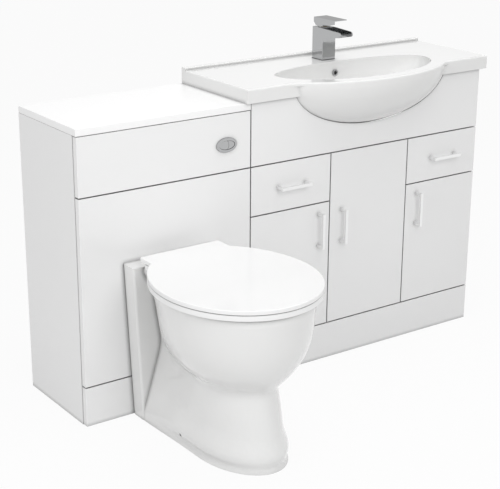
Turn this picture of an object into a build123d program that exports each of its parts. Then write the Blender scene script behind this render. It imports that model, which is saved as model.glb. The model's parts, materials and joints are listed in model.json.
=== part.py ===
from build123d import *
import os
from math import cos, radians, sin, sqrt

os.makedirs("parts", exist_ok=True)

# A bathroom run: a toilet furniture unit on the left, joined to a basin vanity unit on the right.
# x runs right from the left outer side, y runs from the front faces to the wall, z up from the floor.
# All sizes are millimetres.

# Boards and fronts
BOARD = 18.0
DOOR_BUFFER = 2.0
UNIT_H = 766.0
UNIT_D = 300.0
WC_W = 500.0
VANITY_W = 802.0
SIDE_COLUMN = 264.0
FRONT_GAP = 3.0
PLINTH_LINE = 105.5
DRAWER_LINE = 462.0
APRON_LINE = 596.5
EASE = 0.8
RAIL_H = 80.0
BACK_RAIL_Z = 640.0

# Hinges on the doors
AXIS_INSET = 3.0
CUP_R = 17.5
CUP_DEPTH = 12.0
CUP_WALL = 1.2
CUP_FROM_EDGE = 22.5
CUP_FROM_END = 75.0
HINGE_PLAY = 0.6
ARM_W = 10.0
ARM_H = 11.0
ARM_BACK = 88.0
PLATE_FRONT = 44.0
PLATE_H = 44.0

# Bar handles
BAR_L = 100.0
BAR_W = 9.0
BAR_T = 5.0
BAR_STAND = 28.0
POST_PITCH = 90.0
POST_R = 4.2
DOOR_HANDLE_Z = 387.0
DOOR_HANDLE_INSET = 38.0

# Drawers and their runners
DRAWER_L = 250.0
DRAWER_SIDE = 12.0
DRAWER_FLOOR = 6.0
DRAWER_BOX_H = 90.0
DRAWER_BOX_LIFT = 16.0
RUNNER_W = 12.7
RUNNER_H = 36.0
RUNNER_T = 1.2
RUNNER_PLAY = 0.3
RUNNER_L = 240.0

# Basin
BASIN_W = 836.0
BASIN_FRONT = 8.0
DECK_Z = 803.0
DECK_T = 12.0
EDGE_R = 5.0
UPSTAND_H = 7.0
UPSTAND_T = 16.0
UPSTAND_R = 3.0
BLEND_R = 60.0
BLEND_SLOPE = 45.0
UNDERCUT = 70.0
BOWL_Y = 86.0
BOWL_HALF_W = 259.0
BOWL_FRONT = 140.0
BOWL_BACK = 80.0
BOWL_DEPTH = 131.0
BELLY_HALF_W = 302.0
BELLY_FRONT = 176.0
BELLY_BACK = 106.0
BELLY_TOP = 794.0
BELLY_DEPTH = 138.0
REST_W = 44.0
APRON_CLEAR = 1.5

# Waste and trap
WASTE_Y = 76.0
WASTE_R = 22.0
WASTE_T = 3.0
WASTE_FLANGE_R = 32.0
FLANGE_T = 2.5
TAIL_L = 55.0
PLUG_R = 29.0
PLUG_T = 4.0
PLUG_GAP = 0.5
PLUG_STEM_R = 5.0
PLUG_STEM_L = 34.0
WASTE_NUT_R = 31.0
WASTE_NUT_H = 9.0
TRAP_R = 31.0
TRAP_H = 118.0
TRAP_NUT_R = 27.0
TRAP_NUT_H = 18.0
TRAP_PIPE_R = 16.0
TRAP_PIPE_T = 2.0
TRAP_OUT_DROP = 32.0
OVERFLOW_Z = 771.0
OVERFLOW_R = 6.0
OVERFLOW_RING_R = 9.0
OVERFLOW_BORE_Y = 178.0

# Basin mixer
TAP_Y = 216.0
TAP_W = 45.0
TAP_D = 48.0
TAP_H = 89.0
GASKET_T = 1.4
SPOUT_Y = 117.0
SPOUT_TIP_DROP = 3.0
SPOUT_TIP_H = 14.0
SPOUT_ROOT_H = 27.0
SPOUT_WALL = 3.5
CHANNEL_DEPTH = 8.0
NECK_H = 1.5
NECK_R = 17.0
CARTRIDGE_R = 14.8
CARTRIDGE_L = 28.0
SHANK_R = 16.0
SHANK_L = 62.0
INLET_BORE_R = 5.0
INLET_PITCH = 13.3
EDGE_SOFT = 1.5
LEVER_GAP = 5.0
LEVER_BLOCK_H = 18.0
LEVER_T = 4.0
LEVER_TIP_Y = 144.0
LEVER_BACK_Y = 235.0
STEM_R = 9.0
PIN_R = 2.0
TURN_PLAY = 0.08
TAP_HOLE_R = 17.5

# Toilet pan
PAN_RIM_Z = 409.0
PAN_WALL = 12.0
PAN_ROOF = 22.0
FLANGE_D = 50.0
FLANGE_TOP_Z = 413.0
FLANGE_R = 6.0
FLANGE_TOP_W = 266.0
FLANGE_FOOT_W = 226.0
SOIL_Z = 180.0
SOIL_R = 50.0
FLUSH_Z = 345.0
INLET_R = 28.0
TRAPWAY_R = 38.0
TRAPWAY_BEND = 55.0
FLANK_FRONT = 0.45
FLANK_BACK = 0.3
FIX_HOLE_R = 4.0
FIX_HOLE_Z = 26.0
FIX_HOLE_Y = -212.0

# Seat and lid
SEAT_HALF_W = 196.0
SEAT_MID_Y = -300.0
SEAT_FRONT = 219.0
SEAT_BACK = 244.0
TAB_HALF_W = 115.0
TAB_BACK_Y = -50.0
TAB_CORNER_R = 6.0
SEAT_GAP = 7.0
SEAT_T = 13.0
LID_GAP = 1.5
LID_T = 10.0
LID_SKIN = 4.0
SEAT_HOLE_HALF_W = 108.0
SEAT_HOLE_HALF_L = 132.0
SEAT_HOLE_Y = -308.0
HINGE_Y = -58.0
HINGE_PITCH = 110.0
HINGE_NUT_R = 8.5
KNUCKLE_R = 6.2
SEAT_PIN_R = 4.0
KNUCKLE_W = 15.0
POST_W = 20.0
KNUCKLE_PLAY = 0.6

# Cistern and pipes
TANK_W = 380.0
TANK_D = 150.0
TANK_Z = 430.0
TANK_H = 270.0
TANK_WALL = 4.0
FLUSH_PIPE_R = 21.0
FLUSH_PIPE_T = 2.0
PIPE_BEND = 60.0
VALVE_R = 24.0
SOIL_PIPE_R = 55.0

# Dual flush button
BUTTON_X = 424.0
BUTTON_Z = 668.0
BEZEL_HALF_W = 31.0
BEZEL_HALF_H = 19.0
BEZEL_RIM = 5.0
BEZEL_PROUD = 4.0
BUTTON_PLAY = 0.4
BUTTON_TRAVEL = 5.0
BARREL_WALL = 2.0
BUTTON_STEM_R = 2.5

# How an upright cylinder sits on its place
STANDING = (Align.CENTER, Align.CENTER, Align.MIN)
HANGING = (Align.CENTER, Align.CENTER, Align.MAX)

# Worked out from the sizes above
half_gap = FRONT_GAP / 2
door_t = BOARD - DOOR_BUFFER
van_left = WC_W
van_right = WC_W + VANITY_W
mid_x = (van_left + van_right) / 2
seams = (van_left + SIDE_COLUMN, van_right - SIDE_COLUMN)
pan_x = WC_W / 2
rail_y = UNIT_D - BOARD


run_right = mid_x + BASIN_W / 2
run_front = SEAT_MID_Y - SEAT_FRONT


def in_run_frame(piece):
    """The finished piece, moved so that the middle of the run's footprint is at the origin."""
    return piece.moved(Location((-run_right / 2, -(run_front + UNIT_D) / 2, 0)))


def add_board(x_span, y_span, z_span, mode=Mode.ADD):
    """A plain board between three spans, added to the part being built or cut from it."""
    spans = (x_span, y_span, z_span)
    with Locations(tuple((low + high) / 2 for low, high in spans)):
        Box(*(high - low for low, high in spans), mode=mode)


def facing_front(y):
    """The upright plane at depth y, seen from the front: sketches read x and z, and extrude forwards."""
    return Plane(origin=(0, y, 0), x_dir=(1, 0, 0), z_dir=(0, -1, 0))


def upright_along(x):
    """The upright plane at x, seen from the right: sketches read y and z, and extrude to the right."""
    return Plane(origin=(x, 0, 0), x_dir=(0, 1, 0), z_dir=(1, 0, 0))


# Carcass of the toilet unit
top_under = UNIT_H - BOARD
with BuildPart() as wc_sides:
    for x in (0, WC_W - BOARD):
        add_board((x, x + BOARD), (BOARD, UNIT_D), (0, top_under))
wc_sides.part.label = "wc_sides"
export_step(in_run_frame(wc_sides.part), "parts/wc_sides.step")

with BuildPart() as wc_top:
    add_board((0, WC_W), (0, UNIT_D), (top_under, UNIT_H))
    chamfer(wc_top.edges(), EASE)
wc_top.part.label = "wc_top_panel"
export_step(in_run_frame(wc_top.part), "parts/wc_top_panel.step")

barrel_half_w = BEZEL_HALF_W - BEZEL_RIM
barrel_half_h = BEZEL_HALF_H - BEZEL_RIM
with BuildPart() as wc_fascia:
    add_board((half_gap, WC_W - half_gap), (0, BOARD), (APRON_LINE + half_gap, top_under - half_gap))
    chamfer(wc_fascia.edges(), EASE)
    with BuildSketch(facing_front(BOARD)):
        with Locations((BUTTON_X, BUTTON_Z)):
            Ellipse(barrel_half_w + BUTTON_PLAY, barrel_half_h + BUTTON_PLAY)
    extrude(amount=BOARD, mode=Mode.SUBTRACT)
wc_fascia.part.label = "wc_upper_fascia"
export_step(in_run_frame(wc_fascia.part), "parts/wc_upper_fascia.step")

hole_room = 10.0
with BuildPart() as wc_panel:
    add_board((half_gap, WC_W - half_gap), (0, BOARD), (PLINTH_LINE + half_gap, APRON_LINE - half_gap))
    chamfer(wc_panel.edges(), EASE)
    with BuildSketch(facing_front(BOARD)):
        with Locations((pan_x, SOIL_Z)):
            Circle(SOIL_R + hole_room)
        with Locations((pan_x, FLUSH_Z)):
            Circle(INLET_R + hole_room)
    extrude(amount=BOARD, mode=Mode.SUBTRACT)
wc_panel.part.label = "wc_lower_panel"
export_step(in_run_frame(wc_panel.part), "parts/wc_lower_panel.step")

with BuildPart() as plinths:
    for left, right in ((0, WC_W), (van_left, van_right)):
        add_board((left + half_gap, right - half_gap), (0, BOARD), (0, PLINTH_LINE - half_gap))
    chamfer(plinths.edges(), EASE)
plinths.part.label = "plinths"
export_step(in_run_frame(plinths.part), "parts/plinths.step")

# Rails that tie the sides together, at the back of both units and behind the apron
tank_back = rail_y
with BuildPart() as rails:
    for left, right in ((0, WC_W), (van_left, van_right)):
        inner = (left + BOARD, right - BOARD)
        add_board(inner, (rail_y, UNIT_D), (BACK_RAIL_Z, BACK_RAIL_Z + RAIL_H))
    add_board((BOARD, WC_W - BOARD), (rail_y, UNIT_D), (BOARD, BOARD + RAIL_H))
    front_rail_z = APRON_LINE + half_gap
    z_span = (front_rail_z, front_rail_z + RAIL_H / 2)
    add_board((van_left + BOARD, van_right - BOARD), (BOARD, 2 * BOARD), z_span)
rails.part.label = "carcass_rails"
export_step(in_run_frame(rails.part), "parts/carcass_rails.step")

# Carcass of the vanity unit
with BuildPart() as vanity_sides:
    for x in (van_left, van_right - BOARD):
        add_board((x, x + BOARD), (BOARD, UNIT_D), (0, UNIT_H))
vanity_sides.part.label = "vanity_sides"
export_step(in_run_frame(vanity_sides.part), "parts/vanity_sides.step")

base_z = (PLINTH_LINE - BOARD / 2, PLINTH_LINE + BOARD / 2)
with BuildPart() as base_panel:
    add_board((van_left + BOARD, van_right - BOARD), (BOARD, UNIT_D), base_z)
base_panel.part.label = "vanity_base_panel"
export_step(in_run_frame(base_panel.part), "parts/vanity_base_panel.step")

with BuildPart() as dividers:
    for x in seams:
        add_board((x - BOARD / 2, x + BOARD / 2), (BOARD, rail_y), (base_z[1], front_rail_z))
dividers.part.label = "vanity_dividers"
export_step(in_run_frame(dividers.part), "parts/vanity_dividers.step")

columns = ((van_left + BOARD, seams[0] - BOARD / 2), (seams[1] + BOARD / 2, van_right - BOARD))
with BuildPart() as shelves:
    for column in columns:
        add_board(column, (BOARD, rail_y), (DRAWER_LINE - BOARD / 2, DRAWER_LINE + BOARD / 2))
shelves.part.label = "drawer_shelves"
export_step(in_run_frame(shelves.part), "parts/drawer_shelves.step")


def bowl_ring(z, half_w, front, back):
    """A level ring round the bowl's middle: a half ellipse to the front, a shorter one to the back."""
    with BuildSketch(Plane.XY.offset(z)) as ring:
        with BuildLine():
            EllipticalCenterArc((mid_x, BOWL_Y), half_w, front, 180, arc_size=180)
            EllipticalCenterArc((mid_x, BOWL_Y), half_w, back, 0, arc_size=180)
        make_face()
    return ring.sketch


def deck_outline(z):
    """The top seen from above: a straight edge that runs out into the bowl in two soft hollows."""
    with BuildSketch(Plane.XY.offset(z)) as outline:
        with Locations((mid_x, (UNIT_D - BASIN_FRONT) / 2)):
            Rectangle(BASIN_W, UNIT_D + BASIN_FRONT)
        add(bowl_ring(z, BELLY_HALF_W, BELLY_FRONT, BELLY_BACK))
        front_corners = outline.vertices().filter_by(lambda corner: abs(corner.Y + BASIN_FRONT) < 1)
        fillet(front_corners.sort_by(lambda corner: abs(corner.X - mid_x))[:2], BLEND_R)
    return outline.sketch


def bowl_form(top, depth, half_w, front, back, rise=0.0):
    """A bowl that hangs from the height top: elliptical rings that shrink towards a flat floor."""
    rings = []
    for angle in (0, 18, 34, 48, 60, UNDERCUT):
        share = cos(radians(angle))
        z = top - depth * sin(radians(angle)) / sin(radians(UNDERCUT))
        rings.append(bowl_ring(z, half_w * share, front * share, back * share))
    with BuildPart() as form:
        loft(sections=rings)
        if rise:
            extrude(bowl_ring(top, half_w, front, back), amount=rise)
    return form.part


# Basin: a ceramic top with a raised back edge, and a bowl that bulges out over the fronts
basin_left = mid_x - BASIN_W / 2
basin_right = mid_x + BASIN_W / 2
floor_z = DECK_Z - BOWL_DEPTH
belly = bowl_form(BELLY_TOP, BELLY_DEPTH, BELLY_HALF_W, BELLY_FRONT, BELLY_BACK)
bowl_hollow = bowl_form(DECK_Z, BOWL_DEPTH, BOWL_HALF_W, BOWL_FRONT, BOWL_BACK, rise=UPSTAND_H)
with BuildPart() as upstand:
    z_span = (DECK_Z - EDGE_R, DECK_Z + UPSTAND_H)
    add_board((basin_left, basin_right), (UNIT_D - UPSTAND_T, UNIT_D), z_span)
    fillet(upstand.edges().group_by(Axis.Z)[-1].sort_by(Axis.Y)[0], UPSTAND_R)
with BuildPart() as basin:
    with BuildSketch(Plane.XY.offset(UNIT_H)):
        with Locations((mid_x, (UNIT_D - BASIN_FRONT) / 2)):
            Rectangle(BASIN_W, UNIT_D + BASIN_FRONT)
    extrude(amount=DECK_Z - UNIT_H)
    extrude(deck_outline(DECK_Z), amount=BELLY_TOP - DECK_Z)
    extrude(deck_outline(BELLY_TOP), amount=UNIT_H - BELLY_TOP, taper=BLEND_SLOPE)
    top_edges = basin.faces().sort_by(Axis.Z)[-1].outer_wire().edges()
    fillet(top_edges, EDGE_R)
    add_board(
        (basin_left + REST_W, basin_right - REST_W),
        (REST_W / 2, UNIT_D - REST_W),
        (UNIT_H, DECK_Z - DECK_T),
        mode=Mode.SUBTRACT,
    )
    add(belly)
    add(bowl_hollow, mode=Mode.SUBTRACT)
    add(upstand.part)
    with Locations((mid_x, WASTE_Y, floor_z)):
        Cylinder(WASTE_R, BOWL_DEPTH / 2, mode=Mode.SUBTRACT)
    with BuildSketch(facing_front(OVERFLOW_BORE_Y)):
        with Locations((mid_x, OVERFLOW_Z)):
            Circle(OVERFLOW_R)
    extrude(amount=OVERFLOW_BORE_Y - BOWL_Y, mode=Mode.SUBTRACT)
    with Locations((mid_x, TAP_Y, DECK_Z)):
        Cylinder(TAP_HOLE_R, 4 * DECK_T, mode=Mode.SUBTRACT)
basin.part.label = "basin"
export_step(in_run_frame(basin.part), "parts/basin.step")

# Apron: the fixed panel under the basin, cut to follow the bowl's belly
belly_cut = bowl_form(
    BELLY_TOP,
    BELLY_DEPTH + APRON_CLEAR,
    BELLY_HALF_W + APRON_CLEAR,
    BELLY_FRONT + APRON_CLEAR,
    BELLY_BACK + APRON_CLEAR,
)
with BuildPart() as apron:
    add_board((van_left + half_gap, van_right - half_gap), (0, BOARD), (front_rail_z, UNIT_H - half_gap))
    chamfer(apron.edges(), EASE)
    add(belly_cut, mode=Mode.SUBTRACT)
apron.part.label = "vanity_apron"
export_step(in_run_frame(apron.part), "parts/vanity_apron.step")

# Doors: left edge, right edge, top line and the side of the hinges (-1 left, 1 right)
doors = {
    "left": (van_left, seams[0], DRAWER_LINE, -1),
    "centre": (seams[0], seams[1], APRON_LINE, 1),
    "right": (seams[1], van_right, DRAWER_LINE, 1),
}
hinge_faces = {
    "left": van_left + BOARD,
    "centre": seams[1] - BOARD / 2,
    "right": van_right - BOARD,
}


def hinge_places(name):
    """The middles of a door's two hinge cups, as x and z."""
    left, right, top, side = doors[name]
    x = (right - half_gap - CUP_FROM_EDGE) if side > 0 else (left + half_gap + CUP_FROM_EDGE)
    return [(x, PLINTH_LINE + CUP_FROM_END), (x, top - CUP_FROM_END)]


def bar_handle(x, z, upright):
    """A flat bar on two round posts, standing off the front face."""
    reach = (0, POST_PITCH / 2) if upright else (POST_PITCH / 2, 0)
    size = (BAR_W, BAR_L) if upright else (BAR_L, BAR_W)
    with BuildPart() as handle:
        with BuildSketch(facing_front(0)):
            with Locations((x - reach[0], z - reach[1]), (x + reach[0], z + reach[1])):
                Circle(POST_R)
        extrude(amount=BAR_STAND - BAR_T / 2)
        with BuildSketch(facing_front(BAR_T - BAR_STAND)) as bar:
            with Locations((x, z)):
                RectangleRounded(*size, radius=BAR_W / 4)
        extrude(amount=BAR_T)
        fillet(handle.faces().sort_by(Axis.Y)[0].edges(), BAR_T / 4)
    return handle.part


for name, (left, right, top, side) in doors.items():
    with BuildPart() as door:
        z_span = (PLINTH_LINE + half_gap, top - half_gap)
        add_board((left + half_gap, right - half_gap), (0, door_t), z_span)
        chamfer(door.edges(), EASE)
        with BuildSketch(facing_front(door_t)):
            with Locations(*hinge_places(name)):
                Circle(CUP_R)
        extrude(amount=CUP_DEPTH, mode=Mode.SUBTRACT)
    door.part.label = f"door_{name}"
    export_step(in_run_frame(door.part), f"parts/door_{name}.step")

    wing_w, wing_h, wing_t = CUP_R, 3 * CUP_R, CUP_WALL
    with BuildPart() as cups:
        with BuildSketch(facing_front(door_t)):
            with Locations(*hinge_places(name)):
                Circle(CUP_R - TURN_PLAY)
        extrude(amount=CUP_DEPTH)
        with BuildSketch(facing_front(door_t + wing_t)):
            with Locations(*hinge_places(name)):
                RectangleRounded(wing_w, wing_h, radius=wing_w / 3)
        extrude(amount=wing_t)
        with BuildSketch(facing_front(door_t + wing_t)):
            with Locations(*hinge_places(name)):
                Circle(CUP_R - CUP_WALL)
        extrude(amount=wing_t + CUP_DEPTH - CUP_WALL, mode=Mode.SUBTRACT)
    cups.part.label = f"hinge_cups_{name}"
    export_step(in_run_frame(cups.part), f"parts/hinge_cups_{name}.step")

    handle_x = left + half_gap + DOOR_HANDLE_INSET if side > 0 else right - half_gap - DOOR_HANDLE_INSET
    door_handle = bar_handle(handle_x, DOOR_HANDLE_Z, upright=True)
    door_handle.label = f"handle_door_{name}"
    export_step(in_run_frame(door_handle), f"parts/handle_door_{name}.step")

hook_y = door_t - CUP_DEPTH + CUP_WALL + HINGE_PLAY
with BuildPart() as hinge_arms:
    for name in doors:
        for x, z in hinge_places(name):
            z_span = (z - ARM_H / 2, z + ARM_H / 2)
            add_board((x - ARM_W / 2, x + ARM_W / 2), (hook_y, ARM_BACK), z_span)
            x_span = tuple(sorted((hinge_faces[name], x)))
            add_board(x_span, (PLATE_FRONT, ARM_BACK), (z - PLATE_H / 2, z + PLATE_H / 2))
hinge_arms.part.label = "hinge_arms"
export_step(in_run_frame(hinge_arms.part), "parts/hinge_arms.step")

# Drawers: front, box, floor and handle, and the rails that they run on
drawer_z = DRAWER_LINE + DRAWER_BOX_LIFT
runner_z = drawer_z + DRAWER_BOX_H / 2
runner_y = (BOARD + 2, BOARD + 2 + RUNNER_L)
for name, column, (left, right) in (
    ("left", columns[0], (van_left, seams[0])),
    ("right", columns[1], (seams[1], van_right)),
):
    with BuildPart() as drawer_front:
        z_span = (DRAWER_LINE + half_gap, APRON_LINE - half_gap)
        add_board((left + half_gap, right - half_gap), (0, door_t), z_span)
        chamfer(drawer_front.edges(), EASE)
    drawer_front.part.label = f"drawer_front_{name}"
    export_step(in_run_frame(drawer_front.part), f"parts/drawer_front_{name}.step")

    drawer_handle = bar_handle((left + right) / 2, (DRAWER_LINE + APRON_LINE) / 2, upright=False)
    drawer_handle.label = f"handle_drawer_{name}"
    export_step(in_run_frame(drawer_handle), f"parts/handle_drawer_{name}.step")

    outer_x = (column[0] + RUNNER_W, column[1] - RUNNER_W)
    inner_x = (outer_x[0] + DRAWER_SIDE, outer_x[1] - DRAWER_SIDE)
    outer_y = (door_t, door_t + DRAWER_L)
    inner_y = (outer_y[0] + DRAWER_SIDE, outer_y[1] - DRAWER_SIDE)
    with BuildPart() as drawer_box:
        add_board(outer_x, outer_y, (drawer_z, drawer_z + DRAWER_BOX_H))
        add_board(inner_x, inner_y, (drawer_z, drawer_z + DRAWER_BOX_H), mode=Mode.SUBTRACT)
    drawer_box.part.label = f"drawer_box_{name}"
    export_step(in_run_frame(drawer_box.part), f"parts/drawer_box_{name}.step")

    with BuildPart() as drawer_floor:
        add_board(inner_x, inner_y, (drawer_z + DRAWER_FLOOR, drawer_z + 2 * DRAWER_FLOOR))
    drawer_floor.part.label = f"drawer_floor_{name}"
    export_step(in_run_frame(drawer_floor.part), f"parts/drawer_floor_{name}.step")

    with BuildPart() as drawer_runners:
        for face, way in ((column[0], 1), (column[1], -1)):
            back = face + way * RUNNER_W
            half = RUNNER_H / 2 - RUNNER_T - RUNNER_PLAY
            lip = face + way * RUNNER_W / 3
            web = tuple(sorted((back, back - way * RUNNER_T)))
            add_board(web, runner_y, (runner_z - half, runner_z + half))
            for low in (runner_z - half, runner_z + half - RUNNER_T):
                add_board(tuple(sorted((back, lip))), runner_y, (low, low + RUNNER_T))
    drawer_runners.part.label = f"drawer_runners_{name}"
    export_step(in_run_frame(drawer_runners.part), f"parts/drawer_runners_{name}.step")

with BuildPart() as cabinet_runners:
    for column in columns:
        for face, way in ((column[0], 1), (column[1], -1)):
            half = RUNNER_H / 2
            lip = face + way * (RUNNER_W - 2 * RUNNER_T)
            web = tuple(sorted((face, face + way * RUNNER_T)))
            add_board(web, runner_y, (runner_z - half, runner_z + half))
            for low in (runner_z - half, runner_z + half - RUNNER_T):
                add_board(tuple(sorted((face, lip))), runner_y, (low, low + RUNNER_T))
cabinet_runners.part.label = "cabinet_runners"
export_step(in_run_frame(cabinet_runners.part), "parts/cabinet_runners.step")

# Basin fittings: overflow ring, pop-up waste and bottle trap
ring_share = sqrt(1 - ((DECK_Z - OVERFLOW_Z) * sin(radians(70)) / BOWL_DEPTH) ** 2)
ring_y = BOWL_Y + BOWL_BACK * ring_share
with BuildPart() as overflow_ring:
    with BuildSketch(facing_front(ring_y + WASTE_T)):
        with Locations((mid_x, OVERFLOW_Z)):
            Circle(OVERFLOW_R - TURN_PLAY)
    extrude(amount=2 * WASTE_T)
    with BuildSketch(facing_front(ring_y - WASTE_T / 2)):
        with Locations((mid_x, OVERFLOW_Z)):
            Circle(OVERFLOW_RING_R)
    extrude(amount=WASTE_T / 2)
    with BuildSketch(facing_front(ring_y + WASTE_T)):
        with Locations((mid_x, OVERFLOW_Z)):
            Circle(OVERFLOW_R - 1)
    extrude(amount=3 * WASTE_T, mode=Mode.SUBTRACT)
overflow_ring.part.label = "overflow_ring"
export_step(in_run_frame(overflow_ring.part), "parts/overflow_ring.step")

waste_bore = WASTE_R - WASTE_T
belly_floor = BELLY_TOP - BELLY_DEPTH
rib_z = floor_z - PLUG_STEM_L / 2
with BuildPart() as waste_flange:
    with Locations((mid_x, WASTE_Y, floor_z)):
        Cylinder(WASTE_FLANGE_R, FLANGE_T, align=STANDING)
        Cylinder(WASTE_R - TURN_PLAY, TAIL_L, align=HANGING)
        Cylinder(waste_bore, 3 * TAIL_L, mode=Mode.SUBTRACT)
    y_span = (WASTE_Y - PLUG_STEM_R, WASTE_Y + PLUG_STEM_R)
    add_board((mid_x - waste_bore, mid_x + waste_bore), y_span, (rib_z - WASTE_T, rib_z))
    with Locations((mid_x, WASTE_Y, rib_z)):
        Cylinder(PLUG_STEM_R - 1 + TURN_PLAY, 3 * WASTE_T, mode=Mode.SUBTRACT)
waste_flange.part.label = "waste_flange"
export_step(in_run_frame(waste_flange.part), "parts/waste_flange.step")

plug_z = floor_z + FLANGE_T + PLUG_GAP
with BuildPart() as waste_plug:
    with Locations((mid_x, WASTE_Y, plug_z)):
        Cylinder(PLUG_R, PLUG_T, align=STANDING)
    fillet(waste_plug.edges().group_by(Axis.Z)[-1], PLUG_T / 2)
    with Locations((mid_x, WASTE_Y, plug_z)):
        Cylinder(PLUG_STEM_R - 1, PLUG_STEM_L, align=HANGING)
waste_plug.part.label = "waste_plug"
export_step(in_run_frame(waste_plug.part), "parts/waste_plug.step")

with BuildPart() as waste_nut:
    with BuildSketch(Plane.XY.offset(belly_floor - WASTE_NUT_H)):
        with Locations((mid_x, WASTE_Y)):
            RegularPolygon(WASTE_NUT_R, 8)
            Circle(WASTE_R, mode=Mode.SUBTRACT)
    extrude(amount=WASTE_NUT_H)
waste_nut.part.label = "waste_nut"
export_step(in_run_frame(waste_nut.part), "parts/waste_nut.step")

tail_z = floor_z - TAIL_L
trap_top = tail_z
outlet_z = trap_top - TRAP_OUT_DROP
with BuildPart() as bottle_trap:
    with BuildSketch(Plane(origin=(mid_x, WASTE_Y, 0), x_dir=(1, 0, 0), z_dir=(0, -1, 0))):
        with BuildLine():
            Polyline(
                (0, trap_top),
                (waste_bore, trap_top),
                (WASTE_R, trap_top),
                (WASTE_R, trap_top + TRAP_NUT_H / 2),
                (TRAP_NUT_R, trap_top + TRAP_NUT_H / 2),
                (TRAP_NUT_R, trap_top - TRAP_NUT_H / 2),
                (TRAP_R, trap_top - TRAP_NUT_H),
                (TRAP_R, trap_top - TRAP_H * 0.75),
                (TRAP_R + 3, trap_top - TRAP_H * 0.75),
                (TRAP_R + 3, trap_top - TRAP_H * 0.9),
                (TRAP_R / 2, trap_top - TRAP_H),
                (0, trap_top - TRAP_H),
                close=True,
            )
        make_face()
    revolve(axis=Axis((mid_x, WASTE_Y, 0), (0, 0, 1)))
    with BuildSketch(facing_front(UNIT_D)):
        with Locations((mid_x, outlet_z)):
            Circle(TRAP_PIPE_R)
    extrude(amount=UNIT_D - WASTE_Y)
    with BuildSketch(facing_front(WASTE_Y + TRAP_R + TRAP_NUT_H)):
        with Locations((mid_x, outlet_z)):
            Circle(TRAP_PIPE_R + 4)
    extrude(amount=TRAP_NUT_H + TRAP_R / 2)
    with BuildSketch(facing_front(UNIT_D)):
        with Locations((mid_x, outlet_z)):
            Circle(TRAP_PIPE_R - TRAP_PIPE_T)
    extrude(amount=UNIT_D - WASTE_Y - TRAP_R, mode=Mode.SUBTRACT)
bottle_trap.part.label = "bottle_trap"
export_step(in_run_frame(bottle_trap.part), "parts/bottle_trap.step")

# Basin mixer: square body with an open channel spout, and a flat lever over it
tap_x = (mid_x - TAP_W / 2, mid_x + TAP_W / 2)
tap_front = TAP_Y - TAP_D / 2
tap_back = TAP_Y + TAP_D / 2
body_z = DECK_Z + GASKET_T
tap_top = DECK_Z + TAP_H
tip_top = tap_top - SPOUT_TIP_DROP
tip_r = SPOUT_TIP_H / 2
with BuildPart() as tap_gasket:
    add_board(tap_x, (tap_front, tap_back), (DECK_Z, body_z))
    with Locations((mid_x, TAP_Y, DECK_Z)):
        Cylinder(TAP_HOLE_R, TAP_H, mode=Mode.SUBTRACT)
tap_gasket.part.label = "tap_gasket"
export_step(in_run_frame(tap_gasket.part), "parts/tap_gasket.step")

with BuildPart() as tap_body:
    with BuildSketch(upright_along(tap_x[0])):
        with BuildLine():
            Polyline(
                (SPOUT_Y + tip_r, tip_top - SPOUT_TIP_H),
                (tap_front, tap_top - SPOUT_ROOT_H),
                (tap_front, body_z),
                (tap_back, body_z),
                (tap_back, tap_top),
                (tap_front, tap_top),
                (SPOUT_Y + tip_r, tip_top),
            )
            ThreePointArc(
                (SPOUT_Y + tip_r, tip_top),
                (SPOUT_Y, tip_top - tip_r),
                (SPOUT_Y + tip_r, tip_top - SPOUT_TIP_H),
            )
        make_face()
    extrude(amount=TAP_W)
    fillet(tap_body.edges().filter_by(Axis.Z), EDGE_SOFT)
    channel_back = TAP_Y - NECK_R - SPOUT_WALL
    with BuildSketch(upright_along(tap_x[0] + SPOUT_WALL)):
        with BuildLine():
            Polyline(
                (SPOUT_Y - tip_r, tap_top + 1),
                (channel_back, tap_top + 1),
                (channel_back, tap_top - 2 * CHANNEL_DEPTH),
                (SPOUT_Y + 2 * tip_r, tip_top - CHANNEL_DEPTH),
                (SPOUT_Y - tip_r, tip_top - CHANNEL_DEPTH - tip_r),
                close=True,
            )
        make_face()
    extrude(amount=TAP_W - 2 * SPOUT_WALL, mode=Mode.SUBTRACT)
    with Locations((mid_x, TAP_Y, tap_top)):
        Cylinder(CARTRIDGE_R, CARTRIDGE_L, align=HANGING, mode=Mode.SUBTRACT)
    with Locations((mid_x, TAP_Y, body_z)):
        Cylinder(SHANK_R, SHANK_L, align=HANGING)
    with Locations((mid_x, TAP_Y, body_z - SHANK_L)):
        with GridLocations(INLET_PITCH, 0, 2, 1):
            Cylinder(INLET_BORE_R, SHANK_L, mode=Mode.SUBTRACT)
tap_body.part.label = "tap_body"
export_step(in_run_frame(tap_body.part), "parts/tap_body.step")

with BuildPart() as tap_nut:
    with BuildSketch(Plane.XY.offset(DECK_Z - DECK_T - WASTE_NUT_H)):
        with Locations((mid_x, TAP_Y)):
            RegularPolygon(TAP_HOLE_R + 8, 6)
            Circle(SHANK_R, mode=Mode.SUBTRACT)
    extrude(amount=WASTE_NUT_H)
tap_nut.part.label = "tap_nut"
export_step(in_run_frame(tap_nut.part), "parts/tap_nut.step")

with BuildPart() as tap_cartridge:
    with Locations((mid_x, TAP_Y, tap_top)):
        Cylinder(CARTRIDGE_R, CARTRIDGE_L, align=HANGING)
        Cylinder(NECK_R, NECK_H, align=STANDING)
    with Locations((mid_x, TAP_Y, tap_top + NECK_H)):
        Cylinder(STEM_R + TURN_PLAY, CARTRIDGE_L / 2, align=HANGING, mode=Mode.SUBTRACT)
tap_cartridge.part.label = "tap_cartridge"
export_step(in_run_frame(tap_cartridge.part), "parts/tap_cartridge.step")

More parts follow.
